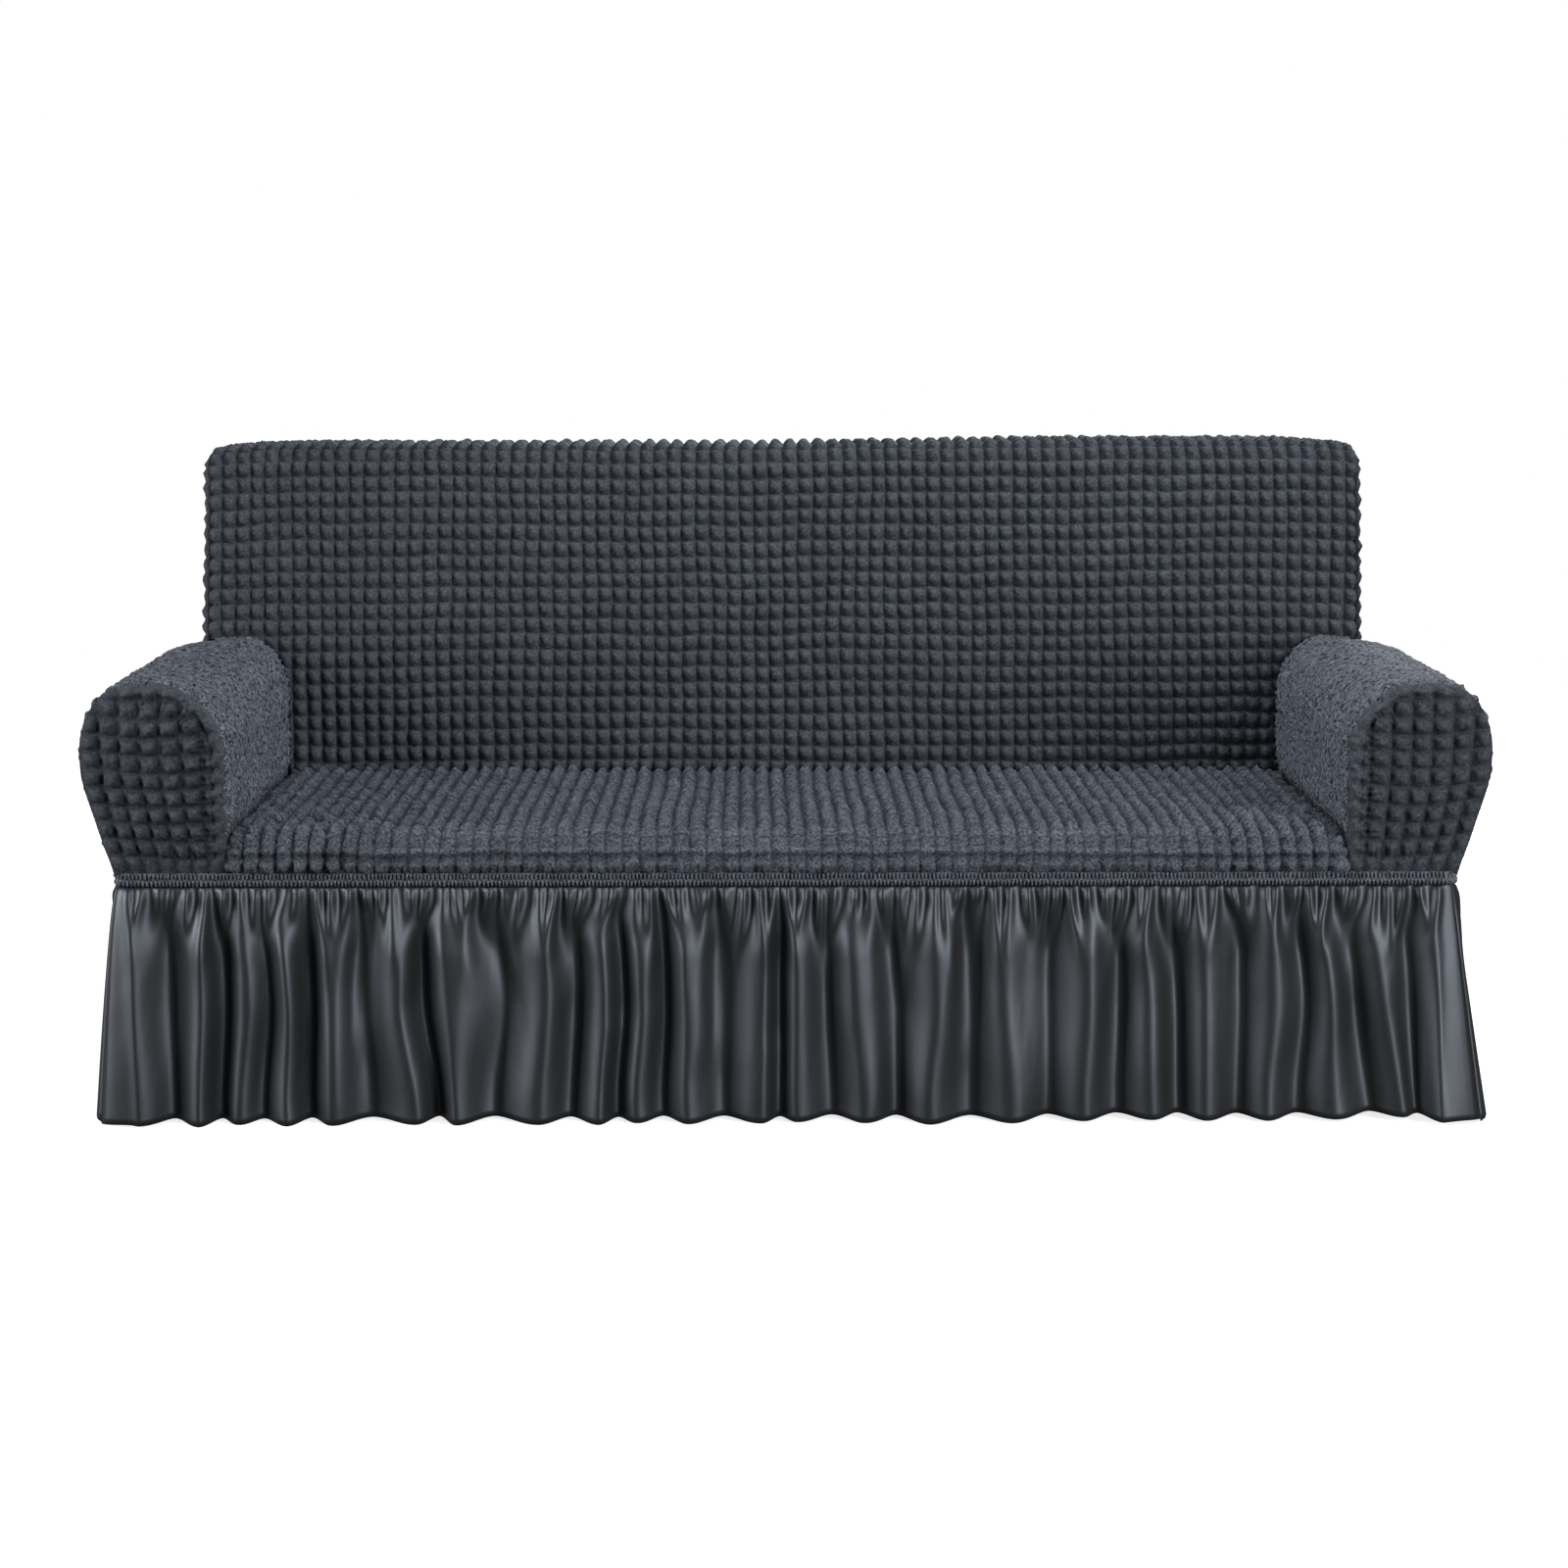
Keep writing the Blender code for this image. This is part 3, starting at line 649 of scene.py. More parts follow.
@dataclass(frozen=True)
class PaleFloor(Finish):
    """Matt white acrylic, lit from inside as a light table is."""

    name: str = "lit white acrylic"
    colour: str = "#D0D0D0"
    glow: float = 0.8

    def sockets(self, tree: bpy.types.NodeTree) -> dict[str, object]:
        """The floor's sockets.

        Args:
            tree: the material's node tree.

        Returns:
            Values and links by the sockets' names.
        """
        speck = add_node(tree, "TexNoise", {"Scale": 3.0, "Detail": 2.0})
        return {
            "Normal": add_node(tree, "Bump", {"Strength": 0.02, "Distance": MM, "Height": speck}),
            "Base Color": linear(self.colour),
            "Roughness": 0.9,
            "Specular IOR Level": 0.1,
            "Emission Color": WHITE,
            "Emission Strength": self.glow,
        }


# ---------------------------------------------------------------- sheets
@dataclass
class Layer:
    """One face of a sheet: its points, their places on the cloth, and its quads."""

    points: np.ndarray
    cells: np.ndarray
    quads: np.ndarray

    @classmethod
    def from_grid(
        cls, points: np.ndarray, cells: np.ndarray, keep: np.ndarray | None, ring: bool, turned: bool
    ) -> "Layer":
        """A layer from a grid of points.

        Args:
            points: rows by columns by 3.
            cells: each point's place on the cloth, rows by columns by 2, or 3 with how flat it is pulled.
            keep: which points the cut leaves, or None for all. A quad with one of them stays.
            ring: whether the last column joins the first.
            turned: whether the grid's own winding points inwards.

        Returns:
            The layer, without unused points.
        """
        rows, columns = points.shape[:2]
        index = np.arange(rows * columns).reshape(rows, columns)
        right = np.roll(index, -1, axis=1) if ring else index[:, 1:]
        left = index if ring else index[:, :-1]
        quads = np.stack([left[:-1], right[:-1], right[1:], left[1:]], axis=-1).reshape(-1, 4)
        if keep is not None:
            quads = quads[keep.ravel()[quads].any(axis=1)]
        if turned:
            quads = quads[:, ::-1]
        used, small = np.unique(quads, return_inverse=True)
        places = cells.reshape(-1, cells.shape[-1])
        return cls(points.reshape(-1, 3)[used], places[used], small.reshape(-1, 4))


def border_loops(quads: np.ndarray) -> list[list[int]]:
    """The closed borders of a layer.

    Args:
        quads: the layer's quads.

    Returns:
        The points of each border, in the direction of its quads' edges.
    """
    starts = quads.ravel()
    ends = np.roll(quads, -1, axis=1).ravel()
    size = int(quads.max()) + 1
    free = ~np.isin(starts * size + ends, ends * size + starts)
    after = dict(zip(starts[free].tolist(), ends[free].tolist(), strict=True))
    loops = []
    while after:
        first, point = after.popitem()
        loop = [first]
        while point != first:
            loop.append(point)
            point = after.pop(point)
        loops.append(loop)
    return loops


def stitch(fine: list[int], coarse: list[int], points: np.ndarray) -> list[tuple[int, int, int]]:
    """Triangles between two borders that run side by side, in the same direction.

    Args:
        fine: the outer layer's border.
        coarse: the inner layer's border.
        points: the points of both.

    Returns:
        The triangles, wound to face outwards.
    """
    gaps = np.linalg.norm(points[coarse] - points[fine[0]], axis=1)
    turn = int(gaps.argmin())
    coarse = coarse[turn:] + coarse[:turn]
    a = points[fine + fine[:1]]
    b = points[coarse + coarse[:1]]
    i = j = 0
    faces = []
    while i < len(fine) or j < len(coarse):
        step_fine = np.inf if i >= len(fine) else float(np.sum((a[i + 1] - b[j]) ** 2))
        step_coarse = np.inf if j >= len(coarse) else float(np.sum((a[i] - b[j + 1]) ** 2))
        here, there = fine[i % len(fine)], coarse[j % len(coarse)]
        if step_fine <= step_coarse:
            faces.append((fine[(i + 1) % len(fine)], here, there))
            i += 1
        else:
            faces.append((here, there, coarse[(j + 1) % len(coarse)]))
            j += 1
    return faces


def closed_sheet(name: str, outer: Layer, inner: Layer) -> bpy.types.Object:
    """One closed thin sheet from its two layers.

    Args:
        name: the new object's name.
        outer: the layer that shows.
        inner: the layer towards the sofa.

    Returns:
        The object, in the scene's collection.
    """
    points = np.vstack([outer.points, inner.points])
    cells = np.vstack([outer.cells, inner.cells])
    shift = len(outer.points)
    inner_loops = [[point + shift for point in reversed(loop)] for loop in border_loops(inner.quads)]
    centres = np.array([points[loop].mean(axis=0) for loop in inner_loops])
    rim: list[tuple[int, int, int]] = []
    for loop in border_loops(outer.quads):
        nearest = int(np.linalg.norm(centres - points[loop].mean(axis=0), axis=1).argmin())
        rim += stitch(loop, inner_loops[nearest], points)
    quads = np.vstack([outer.quads, inner.quads + shift])
    corners = np.concatenate([quads.ravel(), np.array(rim).ravel()])
    starts = np.concatenate([4 * np.arange(len(quads)), 4 * len(quads) + 3 * np.arange(len(rim))])
    mesh = bpy.data.meshes.new(name)
    mesh.vertices.add(len(points))
    mesh.vertices.foreach_set("co", points.astype(np.float32).ravel())
    mesh.loops.add(len(corners))
    mesh.loops.foreach_set("vertex_index", corners.astype(np.int32))
    mesh.polygons.add(len(starts))
    mesh.polygons.foreach_set("loop_start", starts.astype(np.int32))
    mesh.update(calc_edges=True)
    mesh.uv_layers.new(name=UV_NAME).data.foreach_set("uv", cells[corners, :2].astype(np.float32).ravel())
    if cells.shape[1] == 3:
        pulled = mesh.attributes.new(PULL_NAME, "FLOAT", "POINT")
        pulled.data.foreach_set("value", cells[:, 2].astype(np.float32))
    mesh.validate()
    mesh.shade_smooth()
    sheet = bpy.data.objects.new(name, mesh)
    bpy.context.scene.collection.objects.link(sheet)
    return sheet


@dataclass
class Drape:
    """How a panel lies: the grid of its mean surface and what stands out from it."""

    points: np.ndarray
    cells: np.ndarray
    relief: np.ndarray
    inset: float  # from the mean surface in to the inner layer
    keep: np.ndarray | None = None
    shift: np.ndarray | float = 0.0


@dataclass(frozen=True)
class Bubbles:
    """The puffs of the bubble cloth: one pad in each cell of the grid of elastic threads, and flat bands."""

    height: float = 0.0098
    groove: float = 0.0016  # the bands lie this far below the mean surface
    pad: float = 0.455  # half width of a pad, as a share of its cell
    sharp: float = 2.2  # low for a peaked pad, high for one with a flat top
    crease: float = 1.15  # how steeply a pad falls from the crease across it
    lean: float = 0.17  # the crease's way in half turns: at 0.25 it falls from upper left to lower right
    scatter: float = 0.22  # how far that direction strays from pad to pad
    crumple: float = 0.26
    pleat: float = 0.14  # depth of the fine upright pleats on each pad
    seed: float = 1.0

    def relief(
        self,
        cells: np.ndarray,
        row_gap: np.ndarray | float = 1.0,
        column_gap: np.ndarray | float = 1.0,
        creased: np.ndarray | float = 1.0,
    ) -> np.ndarray:
        """How far the cloth stands out from its mean surface.

        Args:
            cells: places on the cloth, in cells.
            row_gap: depth of the bands between rows, 1 where the cloth is slack.
            column_gap: depth of the bands between columns, 1 where the cloth is slack.
            creased: how far the pads are creased, 0 for round ones.

        Returns:
            Heights in metres.
        """
        across, down = cells[..., 0], cells[..., 1]
        column = np.floor(across)
        row = np.floor(down)
        chance = [hashed(column, row, self.seed + k) for k in range(6)]
        u = across - column - 0.5 + 0.07 * (chance[0] - 0.5)
        v = down - row - 0.5 + 0.07 * (chance[1] - 0.5)
        half = self.pad * (0.92 + 0.14 * chance[2])
        pad_u, pad_v = (np.clip(1.0 - (np.abs(w) / half) ** self.sharp, 0.0, 1.0) ** 0.8 for w in (u, v))
        pad = mix(1.0, pad_u, column_gap) * mix(1.0, pad_v, row_gap)
        angle = math.pi * (self.lean + self.scatter * (chance[3] - 0.5))
        off_crease = np.sqrt((u * np.cos(angle) + v * np.sin(angle) + 0.14 * (chance[4] - 0.5)) ** 2 + 0.0009)
        lift = 0.82 + 0.36 * chance[5]
        crumples = soft_noise(3.1 * across, 2.3 * down, self.seed + 7)
        crumples += 0.6 * soft_noise(6.3 * across, 4.1 * down, self.seed + 8)
        pleats = soft_noise(5.9 * across, 1.3 * down, self.seed + 9)
        puff = pad * lift * (1.0 - self.crease * creased * off_crease * pad)
        rough = mix(0.3, 1.0, creased) * (self.crumple * crumples + self.pleat * pleats)
        return self.height * puff * (1.0 + rough) - self.groove * (1.0 - pad)


CELL_STEPS = (0.0, 0.13, 0.31, 0.5, 0.69, 0.87)  # rows and columns of points in one cell, closer at its bands


def cell_grid(columns: int, rows: int, steps: Sequence[float] = CELL_STEPS) -> np.ndarray:
    """Places on the cloth, in cells, for a grid of points that lie at the given steps in each cell."""
    across, along = (np.append((np.arange(n)[:, None] + np.array(steps)).ravel(), n) for n in (columns, rows))
    return np.stack(np.meshgrid(across, along), axis=-1)


def wander(cells: np.ndarray, seed: float, reach: float) -> np.ndarray:
    """The places moved a little, so that the threads don't run quite straight.

    Args:
        cells: places on the cloth.
        seed: tells one panel from another.
        reach: the largest move, in cells.

    Returns:
        The moved places. Those on the grid's border stay on it.
    """
    moved = cells.copy()
    high = cells.reshape(-1, 2).max(axis=0)
    for axis in (0, 1):
        noise = soft_noise(cells[..., 0] / 2.3 + 5 * axis, cells[..., 1] / 2.3, seed + axis)
        slow = soft_noise(cells[..., 0] / 9.0, cells[..., 1] / 9.0 + 3 * axis, seed + 11 + axis)
        room = np.minimum(1.0, np.minimum(cells[..., axis], high[axis] - cells[..., axis]))
        moved[..., axis] += reach * (0.6 * noise + 0.8 * slow) * room
    return moved


def from_edge(distance: np.ndarray, width: float) -> np.ndarray:
    """1 on a seam, falling to 0 at width from it."""
    return 1.0 - ease(distance / width)


def wave(turns: np.ndarray) -> np.ndarray:
    """A wave from -1 to 1 that has run this many turns."""
    return np.sin(2 * math.pi * turns)


def place_of(x: np.ndarray, y: np.ndarray, z: np.ndarray) -> np.ndarray:
    """Points from their three coordinates, which are spread over one grid."""
    return np.stack(np.broadcast_arrays(x, y, z), axis=-1)


TUCK_WIDTH = 0.007  # width of the edge that goes under the neighbour
TUCK_DEPTH = 0.0030  # how far in it goes


def tucked(
    points: np.ndarray, normals: np.ndarray, distance: np.ndarray, way: Sequence[float], on: float = 0.0045
) -> np.ndarray:
    """The panel with its edge carried on under its neighbour, as a sewn seam's allowance is.

    Args:
        points: the panel's grid.
        normals: the outward direction at each point.
        distance: how far each point is from the edge.
        way: unit vector from the panel to its neighbour.
        on: how far the edge is carried on.

    Returns:
        The moved grid.
    """
    near = from_edge(distance, TUCK_WIDTH)[..., None]
    return points + near * (on * np.array(way) - TUCK_DEPTH * normals)


@dataclass
class Panel:
    """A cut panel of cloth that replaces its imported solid."""

    form: SofaForm
    finish: Finish
    name: str
    node: str
    flat: tuple[float, float]
    slot: str = "bubble_cloth"
    held: str = "stretched"
    rests_on: Sequence[str] = ()
    area: float | None = None
    coarse: int = 6  # the inner layer has one column and row for this many of the outer layer
    ring: bool = False
    turned: bool = False

    def drape(self) -> Drape:
        """How the panel lies. Each kind of panel has its own."""
        raise NotImplementedError

    def normals(self, points: np.ndarray) -> np.ndarray:
        """The outward direction at each point of a grid.

        Args:
            points: rows by columns by 3, which join at the first column in a ring.

        Returns:
            Unit vectors, rows by columns by 3.
        """
        ends = (np.roll(points, -1, axis=1), np.roll(points, 1, axis=1))
        across = ends[0] - ends[1] if self.ring else np.gradient(points, axis=1)
        normals = np.cross(across, np.gradient(points, axis=0))
        normals /= np.maximum(np.linalg.norm(normals, axis=-1, keepdims=True), 1e-12)
        return -normals if self.turned else normals

    def build(self) -> bpy.types.Object:
        """Makes the panel's sheet, dresses it and ties it to the frame.

        Returns:
            The dressed piece.
        """
        lie = self.drape()
        normals = self.normals(lie.points)
        outer = lie.points + normals * lie.relief[..., None] + lie.shift
        inner = lie.points - normals * lie.inset + lie.shift
        few = (slice(None, None, self.coarse),) * 2
        keep = None if lie.keep is None else lie.keep[few]
        shows = Layer.from_grid(outer, lie.cells, lie.keep, self.ring, self.turned)
        hidden = Layer.from_grid(inner[few], lie.cells[few], keep, self.ring, not self.turned)
        sheet = closed_sheet(self.name, shows, hidden)
        sheet.data.materials.append(self.finish.material())
        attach(sheet, BODY)
        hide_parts(self.node)
        triangles = sum(len(face.vertices) - 2 for face in sheet.data.polygons)
        log.info("%s: %d triangles", self.name, triangles)
        return sheet


@dataclass
class BubblePanel(Panel):
    """A panel that puffs up between its elastic threads."""

    bubbles: Bubbles = Bubbles()

    @property
    def depth(self) -> float:
        """From the panel's mean surface in to its inner layer."""
        return self.form.cloth + self.bubbles.groove


@dataclass
class SeatPanel(BubblePanel):
    """The flat of the seat and its drop over the front edge."""

    columns: int = 68
    rows: int = 25
    row_run: float = 0.0263  # usual width of a row of cells
    crevice: float = 0.010  # how deep the seat sinks along the back and the arms
    crevice_width: float = 0.034
    under: float = 0.009  # how far it goes on under the back and the arms
    rib_pitch: float = 0.0105  # the fine ribs of the drop
    ripple: float = 0.0026
    pleat: float = 0.0030  # the drop's pleats where the band draws it in
    bubbles: Bubbles = Bubbles(height=0.0094, sharp=1.7, crease=0.4, crumple=0.42, pleat=0.0, seed=2.0)

    def drape(self) -> Drape:
        """How the seat lies, sunk a little where it meets the back and the arms.

        Returns:
            The grid of its mean surface, and what stands out from it.
        """
        form = self.form
        radius = form.seat_edge_radius
        cells = cell_grid(self.columns, self.rows)
        moved = wander(cells, 4.0, 0.13)
        half = form.arm_inner_x - form.seam_gap
        rear_y = form.back_foot_y - form.seam_gap
        turn_y = form.front_y + radius
        flat_run = rear_y - turn_y
        bend_run = radius * math.pi / 2
        drop_run = form.seat_top - radius - form.foot_z
        run = moved[..., 1] / self.rows * (flat_run + bend_run + drop_run)
        u = 2 * moved[..., 0] / self.columns - 1
        bend = np.clip((run - flat_run) / radius, 0.0, math.pi / 2)
        y = np.where(run < flat_run, rear_y - run, turn_y - radius * np.sin(bend))
        z = form.seat_top - radius * (1 - np.cos(bend))
        z = z - np.maximum(0.0, run - flat_run - bend_run)
        inside = np.sin(math.pi * np.clip((y - turn_y) / flat_run, 0.0, 1.0))
        swell = form.seat_crown * (0.75 + 0.35 * sag(u, y, 0.4)) * inside * (1 - np.abs(u) ** 6)
        points = place_of(u * half, y, z + swell)
        normals = self.normals(points)
        beside = half * (1 - np.abs(u))
        over = np.clip((run - flat_run) / bend_run, 0.0, 1.0)
        near_arm = from_edge(beside, self.crevice_width) * (1 - 0.8 * over)
        sunk = self.crevice * np.maximum(from_edge(run, self.crevice_width), near_arm)
        points = points - normals * sunk[..., None]
        foot = (self.rows - cells[..., 1]) * self.row_run
        points = tucked(points, normals, foot, DOWN)
        points = tucked(points, normals, run, (0.0, 1.0, 0.0), self.under)
        for sign in (-1.0, 1.0):
            points = tucked(points, normals, half * (1 - sign * u), (sign, 0.0, 0.0), self.under)
        seam = np.minimum(np.minimum(beside, run), foot)
        fades = ease((run - flat_run + 0.05) / 0.07) * ease((0.80 - np.abs(u)) / 0.12)
        extra = np.clip((cells[..., 1] - self.rows + 3) / 3, 0.0, 1.0)  # the drop packs four rows into three
        sway = 0.10 * soft_noise(cells[..., 0] / 3.0, 0 * run, 5.0) * ease((self.rows - cells[..., 1]) / 2)
        packed = cells + np.stack([0 * extra, extra + sway], axis=-1)
        corner = ease((np.abs(u) - 0.64) / 0.16) * ease((run - flat_run + 0.20) / 0.16)  # it puffs up there
        relief = self.bubbles.relief(packed, mix(0.40 + 0.55 * fades, 1.0, corner), 1.0 - 0.75 * fades)
        relief *= (1 + 0.60 * corner) * (1 - 0.75 * from_edge(seam, 0.012))
        drop = run + 0.0016 * soft_noise(u * half / 0.05, 0 * run, 6.0)
        ribs = 0.5 + 0.5 * np.cos(2 * math.pi * drop / self.rib_pitch)
        relief -= 0.0015 * ribs * fades * ease((run - flat_run) / 0.02)
        ripple = soft_noise(u * half / 0.016, run / 0.0085, 3.0)
        relief += self.ripple * (ripple + 0.7 * soft_noise(u * half / 0.007, run / 0.011, 4.0))
        pleat = wave(u * half / 0.011 + 0.5 * soft_noise(u * 60, z * 0, 3.0))
        relief += self.pleat * pleat * from_edge(foot, 0.019)
        return Drape(points, cells, relief, self.depth)


@dataclass
class BackPanel(BubblePanel):
    """The inside back and its turn over the top, cut round the ends of the arms."""

    columns: int = 80
    rows: int = 27
    row_run: float = 0.0266
    foot_z: float = 0.4225
    swell: float = 0.004
    seam_depth: float = 0.004  # how far the seams draw it in
    bubbles: Bubbles = Bubbles(seed=5.0)

    def drape(self) -> Drape:
        """How the back lies, from the crevice behind the seat to the seam along the top's rear.

        Returns:
            The grid of its mean surface, and what stands out from it.
        """
        form = self.form
        radius = form.back_edge_radius
        cells = cell_grid(self.columns, self.rows)
        moved = wander(cells, 6.0, 0.17)
        share = 2 * moved[..., 0] / self.columns - 1
        crest = form.back_top_z(share * form.back_half_high)
        turn_z = crest - radius
        slope = math.hypot(1.0, form.back_lean)
        straight_run = (turn_z - self.foot_z) * slope
        bend_run = radius * math.pi / 2
        turn_y = form.back_face_y(turn_z) + radius
        run = moved[..., 1] / self.rows * (straight_run + bend_run + form.back_top_rear_y - turn_y)
        rise = np.clip(run / slope, 0.0, turn_z - self.foot_z)
        bend = np.clip((run - straight_run) / radius, 0.0, math.pi / 2)
        over = np.maximum(0.0, run - straight_run - bend_run)
        z_low = self.foot_z + rise
        inside = np.sin(math.pi * rise / (turn_z - self.foot_z))
        beside_arm = ease((0.80 - np.abs(share)) / 0.15)
        swell = self.swell * sag(2 * share, 2 * z_low, 1.3) * inside * beside_arm
        y = form.back_face_y(z_low) - swell + radius * (1 - np.cos(bend)) + over
        z = z_low + radius * np.sin(bend)
        z = z - form.back_rear_drop * over / (form.back_top_rear_y - turn_y)
        points = place_of(share * form.back_half_width(z_low), y, z)
        edge = form.back_half_high * (1 - np.abs(share))
        drawn_in = self.seam_depth * from_edge(edge, 0.018) + self.seam_depth * from_edge(run, 0.03)
        points = points - self.normals(points) * drawn_in[..., None]
        keep, shift, cut = self.cut_round_arms(points)
        rows_left = self.rows - cells[..., 1]
        seam = np.minimum(np.minimum(edge, run), np.minimum(cut, rows_left * self.row_run))
        creased = ease((rows_left - 3) / 3.0) * ease((edge - 0.01) / 0.03)  # the pads on the top are round
        relief = self.bubbles.relief(cells, creased=creased) * mix(0.78, 1.0, creased)
        relief *= 1 - 0.7 * from_edge(seam, 0.010)
        return Drape(points, cells, relief, self.depth, keep, shift)

    def cut_round_arms(self, points: np.ndarray) -> tuple[np.ndarray, np.ndarray, np.ndarray]:
        """Where the panel is cut away for the ends of the arms.

        Args:
            points: the uncut panel's grid.

        Returns:
            Which points stay, the move that brings each cut point to the edge, and the distance to the edge.
        """
        form = self.form
        x = np.abs(points[..., 0])
        z = points[..., 2]
        wide = form.arm_rear_half
        tall = form.arm_cut_top - form.arm_roll_z
        centre_x = form.arm_inner_x + wide
        across = np.clip((centre_x - x) / wide, 0.0, None)
        up = np.clip((z - form.arm_roll_z) / tall, 0.0, None)
        reach = np.hypot(across, up)
        cut_away = (reach < 1.0) & (points[..., 1] < form.back_foot_y + 0.06)
        grow = 1.0 / np.maximum(reach, 0.05)
        target_x = np.where(across > 0, centre_x - across * grow * wide, x)
        target_z = np.where(up > 0, form.arm_roll_z + up * grow * tall, z)
        shift = place_of(np.sign(points[..., 0]) * (target_x - x), 0 * x, target_z - z) * cut_away[..., None]
        shift[..., 1] = form.back_lean * shift[..., 2]
        away = np.where(z < form.arm_cut_top + 0.03, (reach - 1.0) * min(wide, tall), 1.0)
        return ~cut_away, shift, np.maximum(0.0, away)


@dataclass
class OutsideBack(BubblePanel):
    """The outside back with its boxed sides, in one piece round both rear corners."""

    side_columns: int = 9
    corner_columns: int = 2
    rear_columns: int = 76
    rows: int = 22
    steps: tuple[float, ...] = (0.0, 0.2, 0.5, 0.8)
    cell_run: float = 0.025  # usual width of a cell
    swell: float = 0.004
    clearance: float = 0.0006  # more room under the back panel's rear edge
    bubbles: Bubbles = Bubbles(height=0.0080, sharp=3.0, seed=9.0)

    def drape(self) -> Drape:
        """How the outside back lies, from the right side round the rear to the left side.

        Returns:
            The grid of its mean surface, and what stands out from it.
        """
        form = self.form
        radius = form.back_edge_radius
        round_by = form.back_side_round
        columns = 2 * (self.side_columns + self.corner_columns) + self.rear_columns
        cells = cell_grid(columns, self.rows, self.steps)
        moved = wander(cells, 12.0, 0.10)
        place = np.minimum(moved[..., 0], columns - moved[..., 0])
        sign = np.where(moved[..., 0] <= columns / 2, 1.0, -1.0)
        depth = np.clip(place / self.side_columns, 0.0, 1.0)
        turn = np.clip((place - self.side_columns) / self.corner_columns, 0.0, 1.0) * math.pi / 2
        rear = np.clip((place - self.side_columns - self.corner_columns) / (self.rear_columns / 2), 0.0, 1.0)
        level = moved[..., 1] / self.rows
        inset = form.cloth + form.seam_gap
        turn_z = form.back_top_z(sign * form.back_half_high) - radius
        front_y = form.back_face_y(turn_z)
        top_y = mix(front_y, form.back_top_rear_y - round_by, depth)
        short = np.clip(front_y + radius - top_y, 0.0, radius)
        top_side = turn_z + np.sqrt(np.maximum(0.0, radius**2 - short**2))
        top_rear = form.back_top_z(sign * (1 - rear) * (form.back_half_high - round_by))
        top = np.where(depth < 1.0, top_side, top_rear) - form.back_rear_drop * depth - inset - self.clearance
        z = mix(form.foot_z, top, level)
        near_y = form.back_face_y(np.minimum(z, turn_z)) + inset + 2 * form.seam_gap
        side_y = mix(near_y, form.rear_face_y(z) - round_by, depth) + round_by * np.sin(turn)
        half = form.side_half(z)
        x = np.where(rear > 0, (half - round_by) * (1 - rear), half - round_by * (1 - np.cos(turn)))
        swell = self.swell * sag(2 * sign * (1 - rear), z, 2.6) * np.sin(math.pi * level) * ease(rear * 8)
        points = place_of(sign * x, side_y + swell, z)
        normals = self.normals(points)
        points = tucked(points, normals, cells[..., 1] * self.cell_run, DOWN)
        ends = np.minimum(cells[..., 0], columns - cells[..., 0]) * self.cell_run
        points = tucked(points, normals, ends, FORWARD)
        seam = np.minimum(np.minimum(place, self.rows - cells[..., 1]), cells[..., 1]) * self.cell_run
        relief = self.bubbles.relief(cells, creased=0.6) * (1 - 0.8 * from_edge(seam, 0.012))
        return Drape(points, cells, relief, self.depth)


